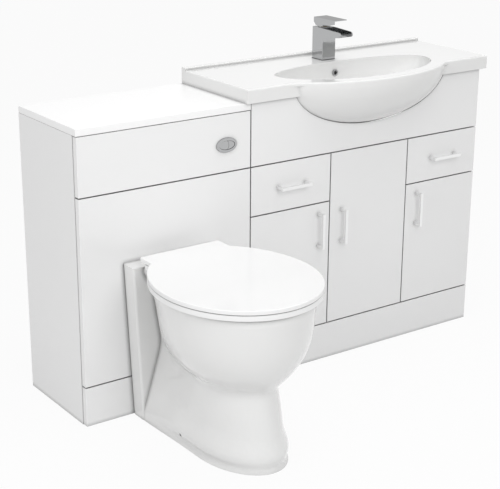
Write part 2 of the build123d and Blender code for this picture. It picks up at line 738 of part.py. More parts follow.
lever_z = tap_top + LEVER_GAP
pivot_z = lever_z + LEVER_BLOCK_H * 0.4
lever_top = lever_z + LEVER_BLOCK_H + LEVER_T
stem_bottom = tap_top + NECK_H - CARTRIDGE_L / 2 + TURN_PLAY
stem_top = pivot_z + PIN_R + 1.5
pin_half = TAP_W / 2 - 4
with BuildPart() as tap_stem:
    with Locations((mid_x, TAP_Y, stem_bottom)):
        Cylinder(STEM_R, stem_top - stem_bottom, align=STANDING)
    with BuildSketch(upright_along(mid_x - pin_half)):
        with Locations((TAP_Y, pivot_z)):
            Circle(PIN_R)
    extrude(amount=2 * pin_half)
tap_stem.part.label = "tap_stem"
export_step(in_run_frame(tap_stem.part), "parts/tap_stem.step")

block_front = TAP_Y - 20
chamfer_size = 10.0
socket_x = STEM_R + 0.7
socket_y = (TAP_Y - STEM_R - 4, TAP_Y + STEM_R + 5)
with BuildPart() as tap_lever:
    with BuildSketch(upright_along(tap_x[0])):
        with BuildLine():
            Polyline(
                (block_front, lever_z),
                (LEVER_BACK_Y - chamfer_size, lever_z),
                (LEVER_BACK_Y, lever_z + chamfer_size),
                (LEVER_BACK_Y, lever_top),
                (LEVER_TIP_Y, lever_top),
                (LEVER_TIP_Y, lever_top - LEVER_T / 2),
                (block_front, lever_top - LEVER_T),
                close=True,
            )
        make_face()
    extrude(amount=TAP_W)
    fillet(tap_lever.edges().filter_by(Axis.Z), 1.0)
    add_board((mid_x - socket_x, mid_x + socket_x), socket_y, (lever_z, stem_top + 4), mode=Mode.SUBTRACT)
    with BuildSketch(upright_along(mid_x - pin_half - 0.5)):
        with Locations((TAP_Y, pivot_z)):
            Circle(PIN_R + TURN_PLAY)
    extrude(amount=2 * pin_half + 1, mode=Mode.SUBTRACT)
tap_lever.part.label = "tap_lever"
export_step(in_run_frame(tap_lever.part), "parts/tap_lever.step")

# Toilet pan: each ring gives its height, half width, middle, front and half width at the back
pan_rings = (
    (0, 106, -290, -459, 112),
    (25, 105, -290, -457, 110),
    (70, 99, -286, -448, 98),
    (120, 93, -282, -438, 82),
    (165, 89, -278, -430, 68),
    (195, 91, -277, -431, 60),
    (213, 108, -280, -444, 58),
    (234, 131, -284, -461, 60),
    (264, 153, -288, -479, 64),
    (304, 169, -290, -493, 70),
    (345, 176, -290, -500, 76),
    (380, 178, -290, -504, 92),
    (398, 178, -290, -505, 102),
    (PAN_RIM_Z, 174, -290, -501, 102),
)
ring_back = -FLANGE_D * 0.6


def pan_ring(z, half_w, middle, front, back_half, inset=0.0):
    """A level outline of the pan: a half ellipse in front, and flanks that draw in towards the flange."""
    half_w, back_half = half_w - inset, back_half - inset
    length = ring_back - middle
    with BuildSketch(Plane.XY.offset(z)) as ring:
        with BuildLine():
            EllipticalCenterArc((pan_x, middle), half_w, middle - front - inset, 180, arc_size=180)
            for side in (-1, 1):
                Bezier(
                    (pan_x + side * half_w, middle),
                    (pan_x + side * half_w, middle + FLANK_FRONT * length),
                    (pan_x + side * back_half, ring_back - FLANK_BACK * length),
                    (pan_x + side * back_half, ring_back),
                )
            Line((pan_x - back_half, ring_back), (pan_x + back_half, ring_back))
        make_face()
    return ring.sketch


def flange_ring(z, half_w, inset=0.0):
    """A level outline of the flat flange against the panel."""
    with BuildSketch(Plane.XY.offset(z)) as ring:
        with Locations((pan_x, -FLANGE_D / 2)):
            RectangleRounded(2 * (half_w - inset), FLANGE_D - 2 * inset, radius=FLANGE_R)
    return ring.sketch


# Bowl of the pan: height, half width, half length and middle of each ring, measured inside
bowl_rings = (
    (PAN_RIM_Z, 130, 140, -312),
    (345, 124, 132, -308),
    (285, 100, 104, -298),
    (232, 70, 74, -282),
    (190, 47, 47, -264),
)


def pan_bowl(grow=0.0):
    """The inside of the bowl, or with a wall round it."""
    rings = []
    for z, half_w, half_l, middle in bowl_rings:
        with BuildSketch(Plane.XY.offset(z - (grow if z < PAN_RIM_Z else 0))) as ring:
            with Locations((pan_x, middle)):
                Ellipse(half_w + grow, half_l + grow)
        rings.append(ring.sketch)
    with BuildPart() as form:
        loft(sections=rings)
    return form.part


def trapway(radius, start=0.0):
    """The trap behind the bowl: up over its weir and down to the soil outlet."""
    with BuildPart() as form:
        with BuildLine(upright_along(pan_x)) as path:
            FilletPolyline((-262, 208), (-150, 262), (-78, SOIL_Z), (45, SOIL_Z), radius=TRAPWAY_BEND)
        with BuildSketch(Plane(origin=path.line @ 0, z_dir=path.line % 0)):
            Circle(radius)
        sweep(path=path.line)
    return form.part


roof_z = PAN_RIM_Z - PAN_ROOF
hollow_rings = [ring for ring in pan_rings if ring[0] < roof_z - PAN_ROOF]
roof_ring = (roof_z, *pan_rings[-3][1:])
foot_ring = (-1, *pan_rings[0][1:])
inlet_back = bowl_rings[1][3] + bowl_rings[1][2] - PAN_WALL
knuckle_x = (pan_x - HINGE_PITCH / 2, pan_x + HINGE_PITCH / 2)
with BuildPart() as pan_inside:
    loft(sections=[pan_ring(*ring, inset=PAN_WALL) for ring in (foot_ring, *hollow_rings[1:], roof_ring)])
    loft(sections=[
        flange_ring(-1, FLANGE_FOOT_W / 2, inset=PAN_WALL),
        flange_ring(roof_z, FLANGE_TOP_W / 2, inset=PAN_WALL),
    ])

with BuildPart() as pan:
    loft(sections=[pan_ring(*ring) for ring in pan_rings])
    loft(sections=[flange_ring(0, FLANGE_FOOT_W / 2), flange_ring(FLANGE_TOP_Z, FLANGE_TOP_W / 2)])
    add(pan_inside.part, mode=Mode.SUBTRACT)
    add(pan_bowl(grow=PAN_WALL))
    add(trapway(TRAPWAY_R + PAN_WALL))
    with BuildSketch(facing_front(-PAN_WALL / 2)):
        with Locations((pan_x, FLUSH_Z)):
            Circle(INLET_R + PAN_WALL * 0.8)
    extrude(amount=-inlet_back - PAN_WALL / 2)
    add(pan_bowl(), mode=Mode.SUBTRACT)
    add(trapway(TRAPWAY_R), mode=Mode.SUBTRACT)
    with BuildSketch(facing_front(0)):
        with Locations((pan_x, FLUSH_Z)):
            Circle(INLET_R)
    extrude(amount=-inlet_back + PAN_WALL, mode=Mode.SUBTRACT)
    for x in knuckle_x:
        with Locations((x, HINGE_Y, PAN_RIM_Z)):
            Cylinder(SEAT_PIN_R + 2, 3 * PAN_ROOF, mode=Mode.SUBTRACT)
    with BuildSketch(upright_along(pan_x - FLANGE_TOP_W)):
        with Locations((FIX_HOLE_Y, FIX_HOLE_Z)):
            Circle(FIX_HOLE_R)
    extrude(amount=2 * FLANGE_TOP_W, mode=Mode.SUBTRACT)
pan.part.label = "toilet_pan"
export_step(in_run_frame(pan.part), "parts/toilet_pan.step")

# Seat and lid: both turn on the same two pins, in posts bolted through the pan
seat_z = PAN_RIM_Z + SEAT_GAP
seat_top = seat_z + SEAT_T
lid_z = seat_top + LID_GAP
lid_top = lid_z + LID_T
pin_z = seat_z + SEAT_T * 0.58
seat_end_y = HINGE_Y - 2 * KNUCKLE_R


def seat_outline(z, end_y=0.0, inset=0.0):
    """The egg shape that the seat and the lid share, with the straight tab at the hinges."""
    with BuildSketch(Plane.XY.offset(z)) as outline:
        with BuildLine():
            EllipticalCenterArc(
                (pan_x, SEAT_MID_Y), SEAT_HALF_W - inset, SEAT_FRONT - inset, 180, arc_size=180
            )
            EllipticalCenterArc(
                (pan_x, SEAT_MID_Y), SEAT_HALF_W - inset, SEAT_BACK - inset, 0, arc_size=180
            )
        make_face()
        tab_front = SEAT_MID_Y + SEAT_BACK / 2
        tab_back = TAB_BACK_Y - inset
        with Locations((pan_x, (tab_front + tab_back) / 2)):
            Rectangle(2 * (TAB_HALF_W - inset), tab_back - tab_front)
        with Locations((pan_x, end_y)):
            Rectangle(
                4 * SEAT_HALF_W, SEAT_BACK, align=(Align.CENTER, Align.MIN), mode=Mode.SUBTRACT
            )
        fillet(outline.vertices().group_by(Axis.Y)[-1], TAB_CORNER_R)
    return outline.sketch


def knuckles(first, last, root_z, root_y, radius=KNUCKLE_R):
    """A barrel on the hinge line at each post, between two offsets from it, joined to a root."""
    with BuildPart() as form:
        for x in knuckle_x:
            with BuildSketch(upright_along(x + first)):
                with Locations((HINGE_Y, pin_z)):
                    Circle(radius)
            extrude(amount=last - first)
            low, high = sorted((pin_z, root_z))
            front, back = root_y
            add_board((x + first, x + last), (front, back), (low, high))
    return form.part


side_gap = KNUCKLE_PLAY
post_half = POST_W / 2
bolt_r = SEAT_PIN_R + 1
bolt_end = PAN_RIM_Z - PAN_ROOF - 12
barrel_y = (HINGE_Y - KNUCKLE_R, HINGE_Y + KNUCKLE_R)
with BuildPart() as seat_hinges:
    add(knuckles(-post_half, post_half, PAN_RIM_Z, barrel_y))
    for x in knuckle_x:
        with BuildSketch(upright_along(x - post_half - side_gap - KNUCKLE_W)):
            with Locations((HINGE_Y, pin_z)):
                Circle(SEAT_PIN_R)
        extrude(amount=2 * (post_half + side_gap + KNUCKLE_W))
        with Locations((x, HINGE_Y, PAN_RIM_Z)):
            Cylinder(bolt_r, PAN_RIM_Z - bolt_end, align=HANGING)
        with BuildSketch(Plane.XY.offset(roof_z - 9)):
            with Locations((x, HINGE_Y)):
                RegularPolygon(HINGE_NUT_R, 6)
        extrude(amount=9)
seat_hinges.part.label = "seat_hinges"
export_step(in_run_frame(seat_hinges.part), "parts/seat_hinges.step")

with BuildPart() as seat:
    extrude(seat_outline(seat_z, seat_end_y), amount=SEAT_T)
    fillet(seat.edges().group_by(Axis.Z)[-1], 3)
    with BuildSketch(Plane.XY.offset(seat_z)):
        with Locations((pan_x, SEAT_HOLE_Y)):
            Ellipse(SEAT_HOLE_HALF_W, SEAT_HOLE_HALF_L)
    extrude(amount=SEAT_T, mode=Mode.SUBTRACT)
    root_y = (seat_end_y - 4, HINGE_Y)
    add(knuckles(-post_half - side_gap - KNUCKLE_W, -post_half - side_gap, pin_z + 3, root_y))
    for x in knuckle_x:
        with BuildSketch(upright_along(x - post_half - side_gap - KNUCKLE_W)):
            with Locations((HINGE_Y, pin_z)):
                Circle(SEAT_PIN_R + TURN_PLAY)
        extrude(amount=KNUCKLE_W, mode=Mode.SUBTRACT)
seat.part.label = "toilet_seat"
export_step(in_run_frame(seat.part), "parts/toilet_seat.step")

with BuildPart() as lid:
    extrude(seat_outline(lid_z), amount=LID_T)
    fillet(lid.edges().group_by(Axis.Z)[-1], 2.5)
    extrude(seat_outline(lid_z, inset=9), amount=LID_T - LID_SKIN, mode=Mode.SUBTRACT)
    root_z = lid_z + LID_T - LID_SKIN
    add(knuckles(post_half + side_gap, post_half + side_gap + KNUCKLE_W, root_z, barrel_y))
    for x in knuckle_x:
        with BuildSketch(upright_along(x + post_half + side_gap)):
            with Locations((HINGE_Y, pin_z)):
                Circle(SEAT_PIN_R + TURN_PLAY)
        extrude(amount=KNUCKLE_W, mode=Mode.SUBTRACT)
lid.part.label = "toilet_lid"
export_step(in_run_frame(lid.part), "parts/toilet_lid.step")

buffer_r = 7.0
buffer_places = [
    (pan_x + side * SEAT_HALF_W * 0.66, SEAT_MID_Y + along)
    for side in (-1, 1)
    for along in (-SEAT_FRONT * 0.45, SEAT_BACK * 0.35)
]
with BuildPart() as seat_buffers:
    with BuildSketch(Plane.XY.offset(PAN_RIM_Z)):
        with Locations(*buffer_places):
            Circle(buffer_r)
    extrude(amount=SEAT_GAP)
seat_buffers.part.label = "seat_buffers"
export_step(in_run_frame(seat_buffers.part), "parts/seat_buffers.step")

# Cistern behind the fascia, with its valves and the pipe down to the pan
tank_x = (pan_x - TANK_W / 2, pan_x + TANK_W / 2)
tank_front = tank_back - TANK_D
tank_mid_y = tank_back - TANK_D / 2
tank_top = TANK_Z + TANK_H
fill_x = pan_x - TANK_W * 0.35
fill_r = 10.0
with BuildPart() as tank:
    add_board(tank_x, (tank_front, tank_back), (TANK_Z, tank_top))
    fillet(tank.edges().filter_by(Axis.Z), 20)
    offset(amount=-TANK_WALL, openings=tank.faces().sort_by(Axis.Z)[-1])
    with Locations((pan_x, tank_mid_y, TANK_Z)):
        Cylinder(VALVE_R + TURN_PLAY, 4 * TANK_WALL, mode=Mode.SUBTRACT)
    with Locations((fill_x, tank_mid_y, TANK_Z)):
        Cylinder(fill_r + TURN_PLAY, 4 * TANK_WALL, mode=Mode.SUBTRACT)
tank.part.label = "cistern_tank"
export_step(in_run_frame(tank.part), "parts/cistern_tank.step")

lip_h = 8.0
with BuildPart() as tank_lid:
    add_board(tank_x, (tank_front, tank_back), (tank_top, tank_top + TANK_WALL))
    fillet(tank_lid.edges().filter_by(Axis.Z), 20)
    with BuildSketch(Plane.XY.offset(tank_top)):
        with Locations((pan_x, tank_mid_y)):
            inside_w = TANK_W - 2 * TANK_WALL - 1
            inside_d = TANK_D - 2 * TANK_WALL - 1
            RectangleRounded(inside_w, inside_d, radius=15)
            RectangleRounded(inside_w - TANK_WALL, inside_d - TANK_WALL, radius=13, mode=Mode.SUBTRACT)
    extrude(amount=-lip_h)
tank_lid.part.label = "cistern_lid"
export_step(in_run_frame(tank_lid.part), "parts/cistern_lid.step")

spigot_l = 30.0
pipe_seat = 8.0
valve_h = 190.0
tank_floor = TANK_Z + TANK_WALL
pipe_bore = FLUSH_PIPE_R - FLUSH_PIPE_T
with BuildPart() as flush_valve:
    with Locations((pan_x, tank_mid_y, tank_floor)):
        Cylinder(VALVE_R, spigot_l + TANK_WALL, align=HANGING)
        Cylinder(VALVE_R * 1.6, 5, align=STANDING)
        Cylinder(VALVE_R * 1.3, valve_h * 0.4, align=STANDING)
        Cylinder(VALVE_R, valve_h, align=STANDING)
    with Locations((pan_x + VALVE_R, tank_mid_y, tank_floor)):
        Cylinder(8, valve_h * 0.9, align=STANDING)
    with Locations((pan_x, tank_mid_y, tank_floor + valve_h * 0.2)):
        with PolarLocations(VALVE_R * 1.3, 6):
            Box(12, 14, valve_h * 0.25, mode=Mode.SUBTRACT)
    with Locations((pan_x, tank_mid_y, TANK_Z - spigot_l)):
        Cylinder(pipe_bore, spigot_l, align=STANDING, mode=Mode.SUBTRACT)
        Cylinder(FLUSH_PIPE_R + TURN_PLAY, pipe_seat, align=STANDING, mode=Mode.SUBTRACT)
    with BuildSketch(Plane.XY.offset(TANK_Z - 12)):
        with Locations((pan_x, tank_mid_y)):
            RegularPolygon(VALVE_R * 1.5, 8)
            Circle(VALVE_R - 0.5, mode=Mode.SUBTRACT)
    extrude(amount=12)
flush_valve.part.label = "flush_valve"
export_step(in_run_frame(flush_valve.part), "parts/flush_valve.step")

with BuildPart() as fill_valve:
    with Locations((fill_x, tank_mid_y, tank_floor)):
        Cylinder(fill_r, 40, align=HANGING)
        Cylinder(fill_r * 1.7, 5, align=STANDING)
        Cylinder(fill_r * 1.2, TANK_H * 0.85, align=STANDING)
    with Locations((fill_x, tank_mid_y, tank_floor + TANK_H * 0.6)):
        Cylinder(fill_r * 2.8, 50)
    with Locations((fill_x, tank_mid_y, tank_floor + TANK_H * 0.85)):
        Cylinder(fill_r * 2, 24)
    with BuildSketch(Plane.XY.offset(TANK_Z - 10)):
        with Locations((fill_x, tank_mid_y)):
            RegularPolygon(fill_r * 1.8, 6)
    extrude(amount=10)
    with Locations((fill_x, tank_mid_y, tank_floor - 40)):
        Cylinder(fill_r * 0.6, 60, align=STANDING, mode=Mode.SUBTRACT)
fill_valve.part.label = "fill_valve"
export_step(in_run_frame(fill_valve.part), "parts/fill_valve.step")

pipe_end_y = -2 * PAN_WALL
with BuildPart() as flush_pipe:
    with BuildLine(upright_along(pan_x)) as pipe_path:
        FilletPolyline(
            (tank_mid_y, TANK_Z - spigot_l + pipe_seat - TURN_PLAY),
            (tank_mid_y, FLUSH_Z),
            (pipe_end_y, FLUSH_Z),
            radius=PIPE_BEND,
        )
    with BuildSketch(Plane(origin=pipe_path.line @ 0, z_dir=pipe_path.line % 0)):
        Circle(FLUSH_PIPE_R)
        Circle(pipe_bore, mode=Mode.SUBTRACT)
    sweep(path=pipe_path.line)
flush_pipe.part.label = "flush_pipe"
export_step(in_run_frame(flush_pipe.part), "parts/flush_pipe.step")

with BuildPart() as flush_cone:
    with BuildSketch(facing_front(BOARD / 3)):
        with Locations((pan_x, FLUSH_Z)):
            Circle(INLET_R + 3)
    extrude(amount=BOARD / 3)
    with BuildSketch(facing_front(0)):
        with Locations((pan_x, FLUSH_Z)):
            Circle(INLET_R - TURN_PLAY)
    extrude(amount=-pipe_end_y)
    with BuildSketch(facing_front(BOARD)):
        with Locations((pan_x, FLUSH_Z)):
            Circle(FLUSH_PIPE_R)
    extrude(amount=BOARD * 3, mode=Mode.SUBTRACT)
flush_cone.part.label = "flush_cone"
export_step(in_run_frame(flush_cone.part), "parts/flush_cone.step")

spigot_end = 45.0
socket_end = 85.0
with BuildPart() as soil_connector:
    with BuildSketch(facing_front(UNIT_D)):
        with Locations((pan_x, SOIL_Z)):
            Circle(SOIL_PIPE_R)
    extrude(amount=UNIT_D - socket_end)
    with BuildSketch(facing_front(socket_end)):
        with Locations((pan_x, SOIL_Z)):
            Circle(SOIL_R + hole_room - 1.5)
    extrude(amount=socket_end - BOARD / 2)
    with BuildSketch(facing_front(UNIT_D)):
        with Locations((pan_x, SOIL_Z)):
            Circle(TRAPWAY_R + 5)
    extrude(amount=UNIT_D, mode=Mode.SUBTRACT)
    with BuildSketch(facing_front(spigot_end + 5)):
        with Locations((pan_x, SOIL_Z)):
            Circle(SOIL_R + TURN_PLAY)
    extrude(amount=spigot_end + 5, mode=Mode.SUBTRACT)
soil_connector.part.label = "soil_connector"
export_step(in_run_frame(soil_connector.part), "parts/soil_connector.step")

# Dual flush button: a chrome bezel clamped through the fascia, and two buttons split by a curve
barrel_end = BOARD + 30
with BuildPart() as bezel:
    with BuildSketch(facing_front(0)):
        with Locations((BUTTON_X, BUTTON_Z)):
            Ellipse(BEZEL_HALF_W, BEZEL_HALF_H)
    extrude(amount=BEZEL_PROUD)
    fillet(bezel.faces().sort_by(Axis.Y)[0].edges(), BEZEL_PROUD / 2)
    with BuildSketch(facing_front(barrel_end)):
        with Locations((BUTTON_X, BUTTON_Z)):
            Ellipse(barrel_half_w, barrel_half_h)
    extrude(amount=barrel_end)
    with BuildSketch(facing_front(barrel_end - 2 * BARREL_WALL)):
        with Locations((BUTTON_X, BUTTON_Z)):
            Ellipse(barrel_half_w - BARREL_WALL, barrel_half_h - BARREL_WALL)
    extrude(amount=barrel_end + 2 * BEZEL_PROUD, mode=Mode.SUBTRACT)
    stem_shift = barrel_half_w * 0.5
    with BuildSketch(facing_front(barrel_end)):
        with Locations((BUTTON_X - stem_shift / 2, BUTTON_Z), (BUTTON_X + stem_shift * 1.3, BUTTON_Z)):
            Circle(BUTTON_STEM_R + TURN_PLAY)
    extrude(amount=barrel_end, mode=Mode.SUBTRACT)
bezel.part.label = "flush_bezel"
export_step(in_run_frame(bezel.part), "parts/flush_bezel.step")

with BuildPart() as bezel_nut:
    with BuildSketch(facing_front(BOARD + 6)):
        with Locations((BUTTON_X, BUTTON_Z)):
            Ellipse(BEZEL_HALF_W, BEZEL_HALF_H)
            Ellipse(barrel_half_w, barrel_half_h, mode=Mode.SUBTRACT)
    extrude(amount=6)
bezel_nut.part.label = "flush_button_nut"
export_step(in_run_frame(bezel_nut.part), "parts/flush_button_nut.step")

button_half_w = barrel_half_w - BARREL_WALL - BUTTON_PLAY
button_half_h = barrel_half_h - BARREL_WALL - BUTTON_PLAY
split_x = BUTTON_X + button_half_w * 0.25
split_r = button_half_h * 1.6
button_back = barrel_end - 2 * BARREL_WALL - BUTTON_TRAVEL - 2
for name, stem_x in (("full", BUTTON_X - stem_shift / 2), ("half", BUTTON_X + stem_shift * 1.3)):
    crescent = name == "half"
    with BuildPart() as button:
        with BuildSketch(facing_front(4)):
            with Locations((BUTTON_X, BUTTON_Z)):
                Ellipse(button_half_w, button_half_h)
            with Locations((split_x - split_r, BUTTON_Z)):
                if crescent:
                    Circle(split_r + BUTTON_PLAY / 2, mode=Mode.SUBTRACT)
                else:
                    Circle(split_r - BUTTON_PLAY / 2, mode=Mode.INTERSECT)
        extrude(amount=4 + BEZEL_PROUD - 1)
        fillet(button.faces().sort_by(Axis.Y)[0].edges(), 0.8)
        with BuildSketch(facing_front(barrel_end + 4)):
            with Locations((stem_x, BUTTON_Z)):
                Circle(BUTTON_STEM_R)
        extrude(amount=barrel_end)
    button.part.label = f"flush_button_{name}"
    export_step(in_run_frame(button.part), f"parts/flush_button_{name}.step")
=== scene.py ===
"""A bathroom run in a plain studio: a basin unit on the right, a toilet unit on the left.

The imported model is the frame, and its boards, chrome and inner workings keep their own solids
and get their finishes here. Glazed and moulded pieces are drawn again as smooth skins of the
same solids. The small fittings that hold the run together, such as screws, buffers and the
grip ribs of the trap, are seated on top of it.
"""

import json
import logging
import math
from dataclasses import dataclass, field
from enum import Enum
from typing import Any, Iterable, Optional, Union

import bmesh
import bpy
from mathutils import Matrix, Quaternion, Vector

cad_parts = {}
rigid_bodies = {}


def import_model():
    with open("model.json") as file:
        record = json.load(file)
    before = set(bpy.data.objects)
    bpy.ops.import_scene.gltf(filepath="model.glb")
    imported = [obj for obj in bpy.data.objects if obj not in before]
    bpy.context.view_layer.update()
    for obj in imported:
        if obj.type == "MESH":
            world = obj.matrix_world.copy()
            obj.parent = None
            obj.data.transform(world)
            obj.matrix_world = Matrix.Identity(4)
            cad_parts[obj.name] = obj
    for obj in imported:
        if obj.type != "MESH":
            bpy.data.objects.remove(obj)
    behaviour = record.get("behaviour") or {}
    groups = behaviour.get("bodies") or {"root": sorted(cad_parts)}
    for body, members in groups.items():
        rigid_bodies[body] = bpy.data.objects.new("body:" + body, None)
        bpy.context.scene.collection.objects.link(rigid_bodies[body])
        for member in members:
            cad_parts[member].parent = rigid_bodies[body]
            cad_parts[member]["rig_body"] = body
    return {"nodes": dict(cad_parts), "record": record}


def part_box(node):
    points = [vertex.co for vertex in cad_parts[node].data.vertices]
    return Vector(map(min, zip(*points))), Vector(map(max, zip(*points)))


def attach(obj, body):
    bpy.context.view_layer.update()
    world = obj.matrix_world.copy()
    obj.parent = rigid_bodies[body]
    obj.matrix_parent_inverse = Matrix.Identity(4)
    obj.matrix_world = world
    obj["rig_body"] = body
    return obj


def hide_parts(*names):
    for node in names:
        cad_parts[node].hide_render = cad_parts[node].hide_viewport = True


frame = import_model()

LOG = logging.getLogger("bathroom_run")
MM = 0.001

Colour = tuple[float, float, float]
Value = Union[float, Vector, Colour, "Signal"]


class Signal:
    """An output socket that Python arithmetic can be written on: each sign adds a Math node."""

    def __init__(self, bench: "NodeBench", socket: Optional[bpy.types.NodeSocket]) -> None:
        """Keeps the bench that the nodes are added to, and the socket, if the node has one."""
        self.bench = bench
        self.socket = socket

    def __add__(self, other: "Value") -> "Signal":
        """self + other."""
        return self.bench.maths("ADD", self, other)

    __radd__ = __add__

    def __mul__(self, other: "Value") -> "Signal":
        """self * other."""
        return self.bench.maths("MULTIPLY", self, other)

    __rmul__ = __mul__

    def __sub__(self, other: "Value") -> "Signal":
        """self - other."""
        return self.bench.maths("SUBTRACT", self, other)

    def __rsub__(self, other: "Value") -> "Signal":
        """other - self."""
        return self.bench.maths("SUBTRACT", other, self)

    def __pow__(self, other: "Value") -> "Signal":
        """self to the power of other."""
        return self.bench.maths("POWER", self, other)


class NodeBench:
    """A node tree being filled, for a material or for the world."""

    def __init__(self, tree: bpy.types.NodeTree) -> None:
        """Empties the tree.

        Args:
            tree: The node tree of a material or of the world.
        """
        self.tree = tree
        tree.nodes.clear()

    def node(
        self,
        kind: str,
        settings: Optional[dict[str, Any]] = None,
        inputs: Optional[dict[Union[int, str], Value]] = None,
        output: Union[int, str] = 0,
    ) -> Signal:
        """Adds one node.

        Args:
            kind: The node's type, such as "ShaderNodeTexNoise".
            settings: Its settings, set first. "stops" are a ramp's places and grey levels.
            inputs: What goes into its sockets, by name or place: a link or a plain value.
            output: The socket that comes out, by name or place.

        Returns:
            The output socket.
        """
        made = self.tree.nodes.new(kind)
        for name, value in (settings or {}).items():
            if name == "stops":
                self._set_stops(made.color_ramp, value)
            else:
                setattr(made, name, value)
        for name, value in (inputs or {}).items():
            self.feed(made.inputs[name], value)
        return Signal(self, made.outputs[output] if made.outputs else None)

    def feed(self, socket: bpy.types.NodeSocket, value: Value) -> None:
        """Links a signal to a socket, or writes a plain value on it."""
        if isinstance(value, Signal):
            self.tree.links.new(value.socket, socket)
        elif socket.type == "RGBA" and len(value) == 3:
            socket.default_value = (*value, 1.0)
        else:
            socket.default_value = value

    def maths(self, operation: str, first: Value, second: Value) -> Signal:
        """A Math node on two values."""
        return self.node("ShaderNodeMath", {"operation": operation}, {0: first, 1: second})

    def mix_colours(self, share: Value, first: Value, second: Value) -> Signal:
        """The first colour at share 0 and the second at share 1."""
        sockets = {0: share, 6: first, 7: second}
        return self.node("ShaderNodeMix", {"data_type": "RGBA"}, sockets, output=2)

    def noise(self, scale: float, detail: float = 2.0, stretch: Optional[Colour] = None) -> Signal:
        """Soft noise on object coordinates.

        Args:
            scale: How many waves there are to a metre.
            detail: How many finer layers the noise has.
            stretch: How many times finer the noise is along x, y and z.

        Returns:
            The noise as a value from 0 to 1.
        """
        place = self.node("ShaderNodeTexCoord", output="Object")
        if stretch:
            place = self.node("ShaderNodeMapping", inputs={"Vector": place, "Scale": stretch})
        inputs = {"Vector": place, "Scale": scale, "Detail": detail}
        return self.node("ShaderNodeTexNoise", {}, inputs, output=0)

    def bump(self, height: Value, depth: float, under: Optional[Signal] = None) -> Signal:
        """A relief of a depth in metres, on top of another one if given."""
        inputs: dict[Union[int, str], Value] = {"Height": height, "Distance": depth}
        if under:
            inputs["Normal"] = under
        return self.node("ShaderNodeBump", {}, inputs)

    def painted_shade_mask(self, reach: float) -> Signal:
        """How far a point is shut in by what stands within reach, as the mask of painted shade: 0
        in the open, 1 in a gap.
        """
        settings, inputs = {"samples": 6}, {"Distance": reach}
        return 1 - self.node("ShaderNodeAmbientOcclusion", settings, inputs, output="AO")

    def _set_stops(self, ramp: bpy.types.ColorRamp, stops: Iterable[tuple[float, float]]) -> None:
        """Sets a ramp's two end stops and adds any between them."""
        (first, low), *between, (last, high) = stops
        ends = ramp.elements
        ends[0].position, ends[0].color = first, (low, low, low, 1)
        ends[1].position, ends[1].color = last, (high, high, high, 1)
        for place, grey in between:
            ends.new(place).color = (grey, grey, grey, 1)


class Grain(Enum):
    """The way that a metal is brushed, as how much finer the marks are along x, y and z."""

    UPRIGHT = (60.0, 60.0, 1.0)
    ACROSS = (1.0, 60.0, 60.0)
    ALL_ROUND = (1.0, 1.0, 40.0)


@dataclass(frozen=True)
class Finish:
    """What every surface has: a name, a colour and how it takes the light."""

    name: str
    colour: Colour
    roughness: float
    metallic: float = 0.0
    coat: float = 0.0
    tone_scale: float = 3.0
    tone_drop: float = 0.02
    # Painted shade: an occlusion mask out to this reach darkens the colour by this share in gaps
    # and crevices.
    painted_shade_reach: float = 0.012
    painted_shade_strength: float = 0.75

    def material(self) -> bpy.types.Material:
        """Makes the material.

        Returns:
            A new material with this finish.
        """
        made = bpy.data.materials.new(self.name)
        made.use_nodes = True
        bench = NodeBench(made.node_tree)
        shader = bench.node("ShaderNodeBsdfPrincipled")
        sockets = shader.socket.node.inputs
        sockets["Metallic"].default_value = self.metallic
        sockets["Coat Weight"].default_value = self.coat
        for name, value in self.surface(bench).items():
            bench.feed(sockets[name], value)
        bench.node("ShaderNodeOutputMaterial", inputs={"Surface": shader})
        made.diffuse_color = (*self.colour, 1)
        return made

    def surface(self, bench: NodeBench) -> dict[str, Value]:
        """What varies over the surface, by the shader's socket: a slow drift of tone, and painted
        shade that darkens the colour in gaps and crevices.
        """
        drift = bench.noise(self.tone_scale)
        darker = tuple(part * (1 - self.tone_drop) for part in self.colour)
        painted_shade_colour = tuple(part * (1 - self.painted_shade_strength) for part in self.colour)
        open_tone = bench.mix_colours(drift, self.colour, darker)
        return {
            # Painted shade: the base colour goes darker where the occlusion mask finds a gap or
            # crevice.
            "Base Color": bench.mix_colours(bench.painted_shade_mask(self.painted_shade_reach), open_tone, painted_shade_colour),
            "Roughness": self.roughness * (0.9 + 0.2 * drift),
        }


@dataclass(frozen=True)
class LacqueredBoard(Finish):
    """Gloss lacquer, level but for the faint orange peel that a spray gun leaves."""

    peel_scale: float = 240.0
    peel_depth: float = 0.00001

    def surface(self, bench: NodeBench) -> dict[str, Value]:
        """Adds the orange peel and a few longer waves under it."""
        made = super().surface(bench)
        waves = bench.bump(bench.noise(self.peel_scale / 12), self.peel_depth * 4)
        made["Normal"] = bench.bump(bench.noise(self.peel_scale), self.peel_depth, under=waves)
        return made


@dataclass(frozen=True)
class FacedBoard(Finish):
    """White melamine on chipboard, with the fine pearl of its press plate."""

    pearl_scale: float = 900.0
    pearl_depth: float = 0.00004

    def surface(self, bench: NodeBench) -> dict[str, Value]:
        """Adds the pearl."""
        made = super().surface(bench)
        made["Normal"] = bench.bump(bench.noise(self.pearl_scale, detail=3), self.pearl_depth)
        return made


@dataclass(frozen=True)
class Glaze(Finish):
    """Fired white glaze: a hard clear skin with slow waves, and pin marks here and there."""

    wave_scale: float = 11.0
    wave_depth: float = 0.00035
    pin_scale: float = 320.0
    pin_depth: float = 0.00002

    def surface(self, bench: NodeBench) -> dict[str, Value]:
        """Adds the waves and the pin marks."""
        made = super().surface(bench)
        waves = bench.bump(bench.noise(self.wave_scale, detail=1), self.wave_depth)
        pins = bench.node(
            "ShaderNodeValToRGB",
            {"stops": ((0.0, 0.0), (0.22, 1.0))},
            {"Fac": bench.noise(self.pin_scale, detail=0)},
        )
        made["Normal"] = bench.bump(pins, self.pin_depth, under=waves)
        return made


